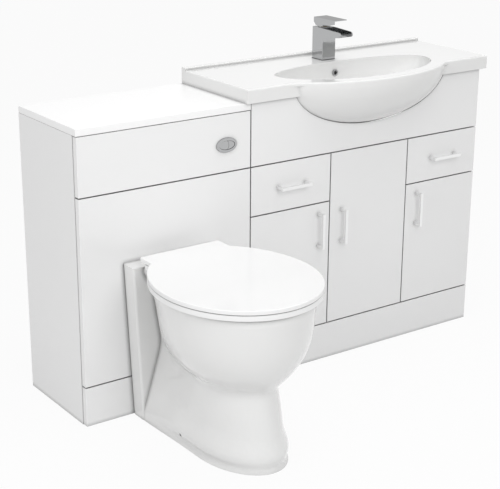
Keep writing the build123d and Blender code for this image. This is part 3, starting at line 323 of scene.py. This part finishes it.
@dataclass(frozen=True)
class Plating(Finish):
    """Polished plating, mirror bright, with faint wipe marks that dull it."""

    wipe_scale: float = 28.0
    wipe_spread: float = 0.05
    edge_tint: Colour = (0.56, 0.56, 0.56)

    def surface(self, bench: NodeBench) -> dict[str, Value]:
        """Adds the wipe marks to the roughness, and a hint of unlevel polish."""
        made = super().surface(bench)
        wiped = bench.noise(self.wipe_scale, detail=5, stretch=(1.0, 1.0, 0.35))
        made["Roughness"] = self.roughness + self.wipe_spread * wiped**2.0
        made["Specular Tint"] = self.edge_tint
        made["Normal"] = bench.bump(bench.noise(self.wipe_scale * 3), 0.00001)
        return made


@dataclass(frozen=True)
class BrushedMetal(Finish):
    """Metal with fine marks along one direction."""

    grain: Grain = Grain.UPRIGHT
    mark_scale: float = 90.0
    mark_depth: float = 0.00002

    def surface(self, bench: NodeBench) -> dict[str, Value]:
        """Adds the marks, as relief and as duller and brighter lines."""
        made = super().surface(bench)
        marks = bench.noise(self.mark_scale, detail=4, stretch=self.grain.value)
        made["Roughness"] = self.roughness * (0.75 + 0.5 * marks)
        made["Normal"] = bench.bump(marks, self.mark_depth)
        return made


@dataclass(frozen=True)
class ZincPlate(Finish):
    """Zinc plate, with the small bright and dull flowers that it sets in."""

    flower_scale: float = 150.0

    def surface(self, bench: NodeBench) -> dict[str, Value]:
        """Adds the flowers to the colour and the roughness."""
        made = super().surface(bench)
        place = bench.node("ShaderNodeTexCoord", output="Object")
        inputs = {"Vector": place, "Scale": self.flower_scale}
        flowers = bench.node("ShaderNodeTexVoronoi", {}, inputs, output="Color")
        grey = bench.node("ShaderNodeSeparateColor", inputs={"Color": flowers})
        dull = tuple(part * 0.7 for part in self.colour)
        made["Base Color"] = bench.mix_colours(grey, self.colour, dull)
        made["Roughness"] = self.roughness + 0.15 * grey
        return made


@dataclass(frozen=True)
class Moulding(Finish):
    """Moulded plastic or rubber, with the fine spark texture of its mould."""

    spark_scale: float = 1400.0
    spark_depth: float = 0.00001
    flow_scale: float = 16.0
    flow_depth: float = 0.0001

    def surface(self, bench: NodeBench) -> dict[str, Value]:
        """Adds the spark texture, and the slow sink marks under it."""
        made = super().surface(bench)
        sunk = bench.bump(bench.noise(self.flow_scale, detail=0), self.flow_depth)
        made["Normal"] = bench.bump(bench.noise(self.spark_scale), self.spark_depth, under=sunk)
        return made


FINISHES: dict[str, Finish] = {
    "white_gloss": LacqueredBoard("gloss_white_lacquer", (0.85, 0.85, 0.85), 0.07),
    "white_top": LacqueredBoard("satin_white_top", (0.93, 0.93, 0.93), 0.3),
    "white_board": FacedBoard("white_faced_board", (0.82, 0.82, 0.81), 0.42),
    "nickel": BrushedMetal("nickel_plate", (0.62, 0.61, 0.59), 0.22, 1.0, grain=Grain.ACROSS),
    # The satin metal and the chrome take less painted shade in their gaps.
    "satin_metal": BrushedMetal("satin_handle_metal", (0.9, 0.9, 0.9), 0.3, 1.0, painted_shade_strength=0.2),
    "zinc_steel": ZincPlate("zinc_runner_steel", (0.6, 0.61, 0.62), 0.3, 1.0),
    "ceramic": Glaze("white_glazed_ceramic", (0.79, 0.79, 0.785), 0.1, coat=0.6),
    "chrome": Plating("polished_chrome", (0.47, 0.475, 0.48), 0.05, 1.0, painted_shade_strength=0.1),
    "brass": BrushedMetal("turned_brass", (0.72, 0.56, 0.3), 0.26, 1.0, grain=Grain.ALL_ROUND),
    "white_plastic": Moulding("white_pipe_plastic", (0.83, 0.83, 0.82), 0.32),
    "seat_plastic": Moulding("gloss_seat_plastic", (0.87, 0.87, 0.87), 0.12, spark_depth=0.000004),
    "cistern_plastic": Moulding("cistern_plastic", (0.7, 0.71, 0.72), 0.5),
    "valve_plastic": Moulding("blue_grey_valve_plastic", (0.22, 0.36, 0.52), 0.38),
    "black_rubber": Moulding("black_rubber", (0.025, 0.025, 0.026), 0.7, tone_drop=0.2),
    "white_rubber": Moulding("soft_white_rubber", (0.74, 0.74, 0.73), 0.6),
}


class Paintshop:
    """Makes each finish once, and dresses nodes and pieces in it."""

    def __init__(self) -> None:
        """Starts with no material made, and reads which slot each node of the record has."""
        self.made: dict[str, bpy.types.Material] = {}
        self.slots: dict[str, str] = {
            row["node"]: row["material_slot"] for row in frame["record"]["subparts"]
        }

    def material(self, slot: str) -> bpy.types.Material:
        """The material of a slot, made when it is first asked for."""
        if slot not in self.made:
            self.made[slot] = FINISHES[slot].material()
        return self.made[slot]

    def dress_node(self, node: str) -> None:
        """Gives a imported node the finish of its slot."""
        mesh = frame["nodes"][node].data
        mesh.materials.clear()
        mesh.materials.append(self.material(self.slots[node]))
        LOG.info("dressed %s as %s", node, self.slots[node])


PAINT = Paintshop()


def finish_piece(name: str, mesh: bpy.types.Mesh, body: str, slot: str) -> bpy.types.Object:
    """Puts a mesh in the scene as a piece that rides on a body.

    Args:
        name: The piece's name.
        mesh: Its mesh, in the row frame.
        body: The body that it moves with.
        slot: The record's material slot that it takes its finish from.

    Returns:
        The piece.
    """
    mesh.materials.clear()
    mesh.materials.append(PAINT.material(slot))
    piece = bpy.data.objects.new(name, mesh)
    bpy.context.scene.collection.objects.link(piece)
    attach(piece, body)
    LOG.info("made %s, %d faces, on %s", name, len(mesh.polygons), body)
    return piece


def smooth_skin(node: str, sharp_over: float = 32.0) -> bpy.types.Object:
    """Draws a node again as one closed skin that is smooth up to an angle, and stands for it.

    Args:
        node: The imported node.
        sharp_over: The angle between faces, in degrees, over which an edge stays sharp.

    Returns:
        The piece.
    """
    source = frame["nodes"][node]
    shape = bmesh.new()
    shape.from_mesh(source.data)
    bmesh.ops.remove_doubles(shape, verts=shape.verts, dist=0.01 * MM)
    for face in shape.faces:
        face.smooth = True
    for edge in shape.edges:
        edge.smooth = edge.calc_face_angle(0.0) < math.radians(sharp_over)
    mesh = bpy.data.meshes.new(f"{node}_skin")
    shape.to_mesh(mesh)
    shape.free()
    piece = finish_piece(f"{node}_skin", mesh, source["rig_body"], PAINT.slots[node])
    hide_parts(node)
    shading = piece.modifiers.new("even_shading", "WEIGHTED_NORMAL")
    shading.keep_sharp = True
    return piece


@dataclass
class Seat:
    """A place where a fitting sits, and the way that it faces."""

    place: Vector
    facing: Vector


class FittingKit:
    """The small shapes that are seated many times, each one unit across and facing up."""

    def __init__(self) -> None:
        """Makes the shapes, as objects that are never put in the scene."""
        self.heads = {"screw": self._screw(), "buffer": self._buffer()}
        self.tree = self._tree()

    def _keep(self, name: str, shape: bmesh.types.BMesh) -> bpy.types.Object:
        """Keeps a shape as an object that isn't in the scene."""
        bmesh.ops.recalc_face_normals(shape, faces=shape.faces)
        mesh = bpy.data.meshes.new(name)
        shape.to_mesh(mesh)
        shape.free()
        mesh.shade_smooth()
        mesh.set_sharp_from_angle(angle=math.radians(40))
        return bpy.data.objects.new(name, mesh)

    def _turned(self, profile: Iterable[tuple[float, float]], steps: int) -> bmesh.types.BMesh:
        """Turns a profile of radius and height round the z axis, closed at both ends."""
        shape = bmesh.new()
        rings = []
        for radius, height in profile:
            ring = []
            for step in range(steps):
                turn = math.tau * step / steps
                place = (radius * math.cos(turn), radius * math.sin(turn), height)
                ring.append(shape.verts.new(place))
            rings.append(ring)
        for low, high in zip(rings, rings[1:]):
            for step in range(steps):
                after = (step + 1) % steps
                shape.faces.new((low[step], low[after], high[after], high[step]))
        shape.faces.new(list(reversed(rings[0])))
        shape.faces.new(rings[-1])
        return shape

    def _screw(self) -> bpy.types.Object:
        """A low domed head with a cross recess."""
        steps, recess_r, recess_z, top_z = 32, 0.3, 0.06, 0.24
        profile = ((0.5, 0.0), (0.5, 0.06), (0.46, 0.14), (0.38, 0.2), (recess_r, top_z))
        shape = self._turned(profile, steps)
        cap = max(shape.faces, key=lambda face: face.calc_center_median().z)
        bmesh.ops.delete(shape, geom=[cap], context="FACES_ONLY")
        ring = [v for v in shape.verts if abs(v.co.z - top_z) < 1e-6]
        ring.sort(key=lambda v: math.atan2(v.co.y, v.co.x))
        arm, waist = 0.26, 0.06
        cross = []
        for quarter in range(4):
            turn = Matrix.Rotation(quarter * math.pi / 2, 3, "Z")
            for x, y in ((waist, -waist), (arm, -waist), (arm, waist)):
                cross.append(turn @ Vector((x, y, 0)))
        rim = [shape.verts.new((p.x, p.y, top_z)) for p in cross]
        floor = [shape.verts.new((p.x * 0.8, p.y * 0.8, recess_z)) for p in cross]
        for place in range(len(cross)):
            after = (place + 1) % len(cross)
            shape.faces.new((rim[place], rim[after], floor[after], floor[place]))
        shape.faces.new(list(reversed(floor)))
        edges = [shape.edges.get((a, b)) for a, b in zip(ring, ring[1:] + ring[:1])]
        edges += [shape.edges.get((a, b)) for a, b in zip(rim, rim[1:] + rim[:1])]
        bmesh.ops.triangle_fill(shape, edges=[edge for edge in edges if edge], use_beauty=True)
        return self._keep("screw_head", shape)

    def _buffer(self) -> bpy.types.Object:
        """A soft dome that a door closes on."""
        profile = ((0.5, 0.0), (0.5, 0.08), (0.44, 0.16), (0.32, 0.22), (0.12, 0.25))
        return self._keep("buffer_dome", self._turned(profile, 24))

    def _tree(self) -> bpy.types.GeometryNodeTree:
        """The tree that seats a shape on every point, facing the way that the point says."""
        tree = bpy.data.node_groups.new("seat_fittings", "GeometryNodeTree")
        sockets = tree.interface
        sockets.new_socket("Seats", in_out="INPUT", socket_type="NodeSocketGeometry")
        sockets.new_socket("Shape", in_out="INPUT", socket_type="NodeSocketObject")
        sockets.new_socket("Across", in_out="INPUT", socket_type="NodeSocketFloat")
        sockets.new_socket("Finish", in_out="INPUT", socket_type="NodeSocketMaterial")
        sockets.new_socket("Fittings", in_out="OUTPUT", socket_type="NodeSocketGeometry")
        add, link = tree.nodes.new, tree.links.new
        given, result = add("NodeGroupInput"), add("NodeGroupOutput")
        facing = add("GeometryNodeInputNamedAttribute")
        facing.data_type = "FLOAT_VECTOR"
        facing.inputs["Name"].default_value = "facing"
        turn = add("FunctionNodeAlignRotationToVector")
        turn.axis = "Z"
        shape, seat = add("GeometryNodeObjectInfo"), add("GeometryNodeInstanceOnPoints")
        real, paint = add("GeometryNodeRealizeInstances"), add("GeometryNodeSetMaterial")
        link(given.outputs["Shape"], shape.inputs["Object"])
        link(facing.outputs["Attribute"], turn.inputs["Vector"])
        link(given.outputs["Seats"], seat.inputs["Points"])
        link(shape.outputs["Geometry"], seat.inputs["Instance"])
        link(turn.outputs["Rotation"], seat.inputs["Rotation"])
        link(given.outputs["Across"], seat.inputs["Scale"])
        link(seat.outputs["Instances"], real.inputs["Geometry"])
        link(real.outputs["Geometry"], paint.inputs["Geometry"])
        link(given.outputs["Finish"], paint.inputs["Material"])
        link(paint.outputs["Geometry"], result.inputs["Fittings"])
        return tree

    def seat(
        self, name: str, head: str, across: float, seats: list[Seat], body: str, slot: str
    ) -> bpy.types.Object:
        """Seats one shape in many places, as one piece.

        Args:
            name: The piece's name.
            head: Which shape: "screw" or "buffer".
            across: How wide the shape is, in metres.
            seats: The places and the ways that they face.
            body: The body that the piece moves with.
            slot: The record's material slot of the piece.

        Returns:
            The piece.
        """
        points = bpy.data.meshes.new(f"{name}_seats")
        points.from_pydata([seat.place for seat in seats], [], [])
        facing = points.attributes.new("facing", "FLOAT_VECTOR", "POINT")
        for entry, seat in zip(facing.data, seats):
            entry.vector = seat.facing
        values = {"Shape": self.heads[head], "Across": across, "Finish": PAINT.material(slot)}
        return finish_piece(name, grown(points, self.tree, values), body, slot)


def grown(
    start: bpy.types.Mesh, tree: bpy.types.GeometryNodeTree, values: dict[str, Any]
) -> bpy.types.Mesh:
    """Runs a Geometry Nodes tree on a mesh and gives its result as a plain mesh.

    Args:
        start: The mesh that goes in.
        tree: The tree.
        values: The tree's named inputs.

    Returns:
        The mesh that comes out.
    """
    holder = bpy.data.objects.new("growing", start)
    bpy.context.scene.collection.objects.link(holder)
    modifier = holder.modifiers.new("tree", "NODES")
    modifier.node_group = tree
    for item in tree.interface.items_tree:
        if item.in_out == "INPUT" and item.name in values:
            modifier[item.identifier] = values[item.name]
    bpy.context.view_layer.update()
    ready = holder.evaluated_get(bpy.context.evaluated_depsgraph_get())
    mesh = bpy.data.meshes.new_from_object(ready)
    bpy.data.objects.remove(holder)
    return mesh


class GripRibs:
    """A ring of upright ribs round a nut or a collar, for the hand to turn it by."""

    def __init__(self) -> None:
        """Builds the tree: a circle of points, with a rib on each that faces outwards."""
        self.tree = bpy.data.node_groups.new("ring_of_ribs", "GeometryNodeTree")
        sockets = self.tree.interface
        sockets.new_socket("Start", in_out="INPUT", socket_type="NodeSocketGeometry")
        sockets.new_socket("Ribs", in_out="INPUT", socket_type="NodeSocketInt")
        sockets.new_socket("Radius", in_out="INPUT", socket_type="NodeSocketFloat")
        sockets.new_socket("Rib Size", in_out="INPUT", socket_type="NodeSocketVector")
        sockets.new_socket("Middle", in_out="INPUT", socket_type="NodeSocketVector")
        sockets.new_socket("Turn", in_out="INPUT", socket_type="NodeSocketVector")
        sockets.new_socket("Finish", in_out="INPUT", socket_type="NodeSocketMaterial")
        sockets.new_socket("Ring", in_out="OUTPUT", socket_type="NodeSocketGeometry")
        add, link = self.tree.nodes.new, self.tree.links.new
        given, result = add("NodeGroupInput"), add("NodeGroupOutput")
        circle, rib = add("GeometryNodeMeshCircle"), add("GeometryNodeMeshCube")
        place, outward = add("GeometryNodeInputPosition"), add("FunctionNodeAlignRotationToVector")
        outward.axis = "X"
        seat, move = add("GeometryNodeInstanceOnPoints"), add("GeometryNodeTransform")
        real, paint = add("GeometryNodeRealizeInstances"), add("GeometryNodeSetMaterial")
        link(given.outputs["Ribs"], circle.inputs["Vertices"])
        link(given.outputs["Radius"], circle.inputs["Radius"])
        link(given.outputs["Rib Size"], rib.inputs["Size"])
        link(place.outputs["Position"], outward.inputs["Vector"])
        link(circle.outputs["Mesh"], seat.inputs["Points"])
        link(rib.outputs["Mesh"], seat.inputs["Instance"])
        link(outward.outputs["Rotation"], seat.inputs["Rotation"])
        link(seat.outputs["Instances"], move.inputs["Geometry"])
        link(given.outputs["Middle"], move.inputs["Translation"])
        link(given.outputs["Turn"], move.inputs["Rotation"])
        link(move.outputs["Geometry"], real.inputs["Geometry"])
        link(real.outputs["Geometry"], paint.inputs["Geometry"])
        link(given.outputs["Finish"], paint.inputs["Material"])
        link(paint.outputs["Geometry"], result.inputs["Ring"])

    def ring(
        self, name: str, middle: Vector, radius: float, height: float, lying: bool, slot: str
    ) -> bpy.types.Object:
        """Puts one ring of ribs round a collar of the cabinet body.

        Args:
            name: The piece's name.
            middle: The middle of the collar.
            radius: The collar's radius.
            height: How long the ribs are.
            lying: True where the collar lies along y, and False where it stands.
            slot: The record's material slot of the piece.

        Returns:
            The piece.
        """
        turn = (math.pi / 2, 0.0, 0.0) if lying else (0.0, 0.0, 0.0)
        values = {
            "Ribs": round(math.tau * radius / (5 * MM)),
            "Radius": radius,
            "Rib Size": (2 * MM, 2.4 * MM, height),
            "Middle": tuple(middle),
            "Turn": turn,
            "Finish": PAINT.material(slot),
        }
        start = bpy.data.meshes.new(f"{name}_start")
        return finish_piece(name, grown(start, self.tree, values), "cabinet", slot)


def middle_of(node: str) -> Vector:
    """The middle of a node's box."""
    low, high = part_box(node)
    return (low + high) / 2


@dataclass
class HandleBolts:
    """The two bolts that come through a front into a bar handle."""

    pitch: float = 90 * MM
    head: float = 8 * MM

    def seats(self, handle: str, back: float) -> list[Seat]:
        """Where the bolt heads sit.

        Args:
            handle: The handle's node.
            back: The y of the face that they sit on.

        Returns:
            Two seats that face the wall.
        """
        low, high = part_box(handle)
        size = high - low
        along = Vector((0, 0, 1)) if size.z > size.x else Vector((1, 0, 0))
        middle = middle_of(handle)
        middle.y = back
        return [Seat(middle + side * along * self.pitch / 2, Vector((0, 1, 0))) for side in (-1, 1)]


@dataclass
class Door:
    """A hinged door with its cups, its bar handle, and the screws and buffers behind it."""

    name: str
    kit: FittingKit
    bolts: HandleBolts = field(default_factory=HandleBolts)
    cup_radius: float = 17.5 * MM
    wing_screw: float = 20 * MM
    wing_thick: float = 1.2 * MM
    plate_middle: float = 74 * MM
    plate_screw: float = 15 * MM
    screw_head: float = 7 * MM
    buffer_across: float = 6 * MM
    buffer_in: tuple[float, float] = (5.5 * MM, 40 * MM)

    def build(self) -> None:
        """Dresses the nodes, and seats the screws on the cups and plates and the buffers."""
        door, cups = f"door_{self.name}", f"hinge_cups_{self.name}"
        PAINT.dress_node(door)
        smooth_skin(cups)
        smooth_skin(f"handle_door_{self.name}")
        low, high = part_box(door)
        hinges = self._hinges(cups)
        screws = [
            Seat(
                Vector((x, high.y + self.wing_thick, z + side * self.wing_screw)),
                Vector((0, 1, 0)),
            )
            for x, z in hinges
            for side in (-1, 1)
        ]
        screws += self.bolts.seats(f"handle_door_{self.name}", high.y)
        self.kit.seat(f"{door}_screws", "screw", self.screw_head, screws, door, "nickel")
        inward = math.copysign(1.0, (low.x + high.x) / 2 - hinges[0][0])
        edge = high.x if inward > 0 else low.x
        buffers = [
            Seat(Vector((edge - inward * self.buffer_in[0], high.y, z)), Vector((0, 1, 0)))
            for z in (low.z + self.buffer_in[1], high.z - self.buffer_in[1])
        ]
        name = f"{door}_buffers"
        self.kit.seat(name, "buffer", self.buffer_across, buffers, door, "white_rubber")
        plates = [
            Seat(
                Vector((x, low.y + self.plate_middle, z + side * self.plate_screw)),
                Vector((inward, 0, 0)),
            )
            for x, z in hinges
            for side in (-1, 1)
        ]
        name = f"{door}_plate_screws"
        self.kit.seat(name, "screw", self.screw_head, plates, "cabinet", "nickel")

    def _hinges(self, cups: str) -> list[tuple[float, float]]:
        """The x and z of the two cups, from the box of their node."""
        low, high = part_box(cups)
        reach = 1.5 * self.cup_radius
        return [((low.x + high.x) / 2, low.z + reach), ((low.x + high.x) / 2, high.z - reach)]


@dataclass
class Drawer:
    """A drawer with its front, box, floor, runners and handle."""

    name: str
    kit: FittingKit
    bolts: HandleBolts = field(default_factory=HandleBolts)
    side_thick: float = 12 * MM
    runner_room: float = 12.7 * MM
    runner_skin: float = 1.2 * MM
    screw_head: float = 6 * MM
    screw_places: tuple[float, ...] = (0.12, 0.5, 0.88)
    buffer_across: float = 6 * MM
    buffer_in: tuple[float, float] = (5.5 * MM, 12 * MM)

    def build(self) -> None:
        """Dresses the nodes, and seats the bolts, the buffers and the runner's screws."""
        body = f"drawer_{self.name}"
        front, box = f"drawer_front_{self.name}", f"drawer_box_{self.name}"
        others = (f"drawer_floor_{self.name}", f"drawer_runners_{self.name}")
        for node in (front, box, *others):
            PAINT.dress_node(node)
        smooth_skin(f"handle_drawer_{self.name}")
        box_low, box_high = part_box(box)
        inner_face = box_low.y + self.side_thick
        bolts = self.bolts.seats(f"handle_drawer_{self.name}", inner_face)
        self.kit.seat(f"{body}_bolts", "screw", self.bolts.head, bolts, body, "nickel")
        low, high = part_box(front)
        buffers = [
            Seat(Vector((x, high.y, high.z - self.buffer_in[1])), Vector((0, 1, 0)))
            for x in (low.x + self.buffer_in[0], high.x - self.buffer_in[0])
        ]
        name = f"{body}_buffers"
        self.kit.seat(name, "buffer", self.buffer_across, buffers, body, "white_rubber")
        run_low, run_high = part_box("cabinet_runners")
        height = (run_low.z + run_high.z) / 2
        offset = self.runner_room - self.runner_skin
        screws = [
            Seat(Vector((x, run_low.y + share * (run_high.y - run_low.y), height)), facing)
            for x, facing in (
                (box_low.x - offset, Vector((1, 0, 0))),
                (box_high.x + offset, Vector((-1, 0, 0))),
            )
            for share in self.screw_places
        ]
        name = f"{body}_runner_screws"
        self.kit.seat(name, "screw", self.screw_head, screws, "cabinet", "zinc_steel")


@dataclass
class Carcass:
    """The boards of both units, their plinths and the fixed metal on them."""

    boards: tuple[str, ...] = (
        "wc_sides",
        "wc_top_panel",
        "wc_upper_fascia",
        "wc_lower_panel",
        "plinths",
        "carcass_rails",
        "vanity_sides",
        "vanity_base_panel",
        "vanity_dividers",
        "vanity_apron",
        "drawer_shelves",
        "hinge_arms",
        "cabinet_runners",
    )

    def build(self) -> None:
        """Dresses the boards."""
        for node in self.boards:
            PAINT.dress_node(node)


@dataclass
class BasinSet:
    """The basin with its overflow, its waste and the bottle trap under it."""

    kit: FittingKit
    nut_radius: float = 27 * MM
    collar_radius: float = 34 * MM
    nut_height: float = 16 * MM
    nut_middle: float = 9 * MM
    collar_middle: float = 106.5 * MM
    collar_height: float = 15 * MM

    def build(self) -> None:
        """Draws the basin and the fittings, and rings the trap's nuts with ribs."""
        for node in ("basin", "waste_plug", "waste_flange", "overflow_ring", "bottle_trap"):
            smooth_skin(node)
        PAINT.dress_node("waste_nut")
        low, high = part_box("bottle_trap")
        axis = Vector(((low.x + high.x) / 2, low.y + self.collar_radius, high.z))
        ribs = GripRibs()
        nut = axis - Vector((0, 0, self.nut_middle))
        collar = axis - Vector((0, 0, self.collar_middle))
        slot = "white_plastic"
        ribs.ring("trap_nut_ribs", nut, self.nut_radius, self.nut_height, False, slot)
        ribs.ring("trap_cup_ribs", collar, self.collar_radius, self.collar_height, False, slot)


@dataclass
class Mixer:
    """The square basin mixer: body, cartridge, stem and lever."""

    def build(self) -> None:
        """Draws the metal smooth and dresses the gasket and the nut."""
        for node in ("tap_body", "tap_cartridge", "tap_stem", "tap_lever"):
            smooth_skin(node, sharp_over=25.0)
        for node in ("tap_gasket", "tap_nut"):
            PAINT.dress_node(node)


@dataclass
class Pan:
    """The ceramic pan with its seat, its lid and their hinges."""

    def build(self) -> None:
        """Draws the pan, the seat and the lid smooth, and dresses the buffers."""
        for node in ("toilet_pan", "toilet_seat", "toilet_lid", "seat_hinges"):
            smooth_skin(node)
        PAINT.dress_node("seat_buffers")


@dataclass
class Flush:
    """The cistern behind the fascia, its valves, the pipes to the pan and the dual button."""

    moulded: tuple[str, ...] = ("cistern_tank", "cistern_lid", "flush_valve", "fill_valve")
    piped: tuple[str, ...] = ("flush_pipe", "flush_cone", "soil_connector", "flush_button_nut")
    plated: tuple[str, ...] = ("flush_bezel", "flush_button_full", "flush_button_half")

    def build(self) -> None:
        """Draws every part of it smooth."""
        for node in (*self.moulded, *self.piped, *self.plated):
            smooth_skin(node)


@dataclass(frozen=True)
class SoftLamp:
    """A square soft lamp: its name, its place, its width and its power in watts."""

    name: str
    place: Colour
    across: float
    power: float


LAMPS = (
    SoftLamp("key_softbox", (-0.9, -3.1, 2.4), 1.8, 44.0),
    SoftLamp("side_softbox", (-3.2, -0.9, 1.8), 1.6, 25.0),
    SoftLamp("top_softbox", (0.2, -0.2, 3.0), 1.8, 25.0),
)


@dataclass
class Studio:
    """The plain pale floor, the soft light and the camera."""

    camera_place: Colour = (-2.03979, -2.54297, 1.50563)
    camera_aim: Colour = (-0.23143, -0.00477, 0.42068)
    camera_roll: float = 0.3985
    focal_pixels: float = 1311.392
    picture: tuple[int, int] = (500, 489)
    picture_middle: tuple[float, float] = (253.215, 249.646)
    sensor: float = 36.0
    floor_across: float = 40.0
    floor_shade: Colour = (0.72, 0.72, 0.72)
    floor_white: float = 0.93
    sky_light: float = 0.52
    lamp_aim: Colour = (0, 0, 0.45)
    clip_end: float = 100.0

    def build(self) -> None:
        """Sets up the floor, the world, the lamps and the camera."""
        scene = bpy.context.scene
        scene.view_settings.view_transform = "Standard"
        self._floor()
        self._world(scene)
        for lamp in LAMPS:
            self._lamp(lamp)
        self._camera(scene)

    def _seen(self, bench: NodeBench) -> Signal:
        """1 for what the camera sees, straight or in a mirror or through glass, and 0 for light."""
        path = bench.node("ShaderNodeLightPath", output="Is Camera Ray").socket.node.outputs
        camera, glossy = Signal(bench, path["Is Camera Ray"]), Signal(bench, path["Is Glossy Ray"])
        through = Signal(bench, path["Is Transmission Ray"])
        return 1 - (1 - camera) * (1 - glossy) * (1 - through)

    def _floor(self) -> None:
        """A wide floor that shows nearly white and keeps the shadow of the run."""
        half = self.floor_across / 2
        mesh = bpy.data.meshes.new("studio_floor")
        corners = [(-half, -half, 0), (half, -half, 0), (half, half, 0), (-half, half, 0)]
        mesh.from_pydata(corners, [], [(0, 1, 2, 3)])
        floor = bpy.data.objects.new("studio_floor", mesh)
        bpy.context.scene.collection.objects.link(floor)
        material = bpy.data.materials.new("studio_floor_white")
        material.use_nodes = True
        bench = NodeBench(material.node_tree)
        lit = bench.node("ShaderNodeBsdfDiffuse", inputs={"Color": self.floor_shade})
        white = bench.node("ShaderNodeEmission", inputs={"Color": (1.0, 1.0, 1.0), "Strength": 1.0})
        share = self._seen(bench) * self.floor_white
        both = bench.node("ShaderNodeMixShader", inputs={0: share, 1: lit, 2: white})
        bench.node("ShaderNodeOutputMaterial", inputs={"Surface": both})
        mesh.materials.append(material)

    def _world(self, scene: bpy.types.Scene) -> None:
        """A white surround to look at, and a softer one that lights the run."""
        world = bpy.data.worlds.new("studio_surround")
        scene.world = world
        world.use_nodes = True
        bench = NodeBench(world.node_tree)
        light = bench.node("ShaderNodeBackground", inputs={"Strength": self.sky_light})
        white = bench.node("ShaderNodeBackground", inputs={"Strength": 1.0})
        for background in (light, white):
            background.socket.node.inputs["Color"].default_value = (1, 1, 1, 1)
        both = bench.node("ShaderNodeMixShader", inputs={0: self._seen(bench), 1: light, 2: white})
        bench.node("ShaderNodeOutputWorld", inputs={"Surface": both})

    def _lamp(self, lamp: SoftLamp) -> None:
        """Hangs a lamp that points at the middle of the run and shows in no reflection."""
        light = bpy.data.lights.new(lamp.name, "AREA")
        light.shape, light.size, light.energy = "SQUARE", lamp.across, lamp.power
        holder = bpy.data.objects.new(lamp.name, light)
        bpy.context.scene.collection.objects.link(holder)
        holder.location = lamp.place
        way = Vector(self.lamp_aim) - Vector(lamp.place)
        holder.rotation_euler = way.to_track_quat("-Z", "Y").to_euler()
        holder.visible_glossy = False

    def _camera(self, scene: bpy.types.Scene) -> None:
        """The camera at the place that the picture was taken from."""
        data = bpy.data.cameras.new("studio_camera")
        width, height = self.picture
        data.sensor_width, data.sensor_fit = self.sensor, "HORIZONTAL"
        data.lens = self.focal_pixels * self.sensor / width
        data.shift_x = (width / 2 - self.picture_middle[0]) / width
        data.shift_y = (self.picture_middle[1] - height / 2) / width
        data.clip_end = self.clip_end
        camera = bpy.data.objects.new("studio_camera", data)
        scene.collection.objects.link(camera)
        way = Vector(self.camera_aim) - Vector(self.camera_place)
        roll = Quaternion((0, 0, 1), math.radians(self.camera_roll))
        camera.rotation_mode = "QUATERNION"
        camera.location = self.camera_place
        camera.rotation_quaternion = way.to_track_quat("-Z", "Y") @ roll
        scene.camera = camera


def main() -> None:
    """Builds the run, part by part, and then the studio round it."""
    logging.basicConfig(level=logging.INFO, format="%(message)s")
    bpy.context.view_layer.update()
    kit = FittingKit()
    Carcass().build()
    for name in ("left", "centre", "right"):
        Door(name, kit).build()
    for name in ("left", "right"):
        Drawer(name, kit).build()
    BasinSet(kit).build()
    Mixer().build()
    Pan().build()
    Flush().build()
    Studio().build()


if __name__ == "__main__":
    main()
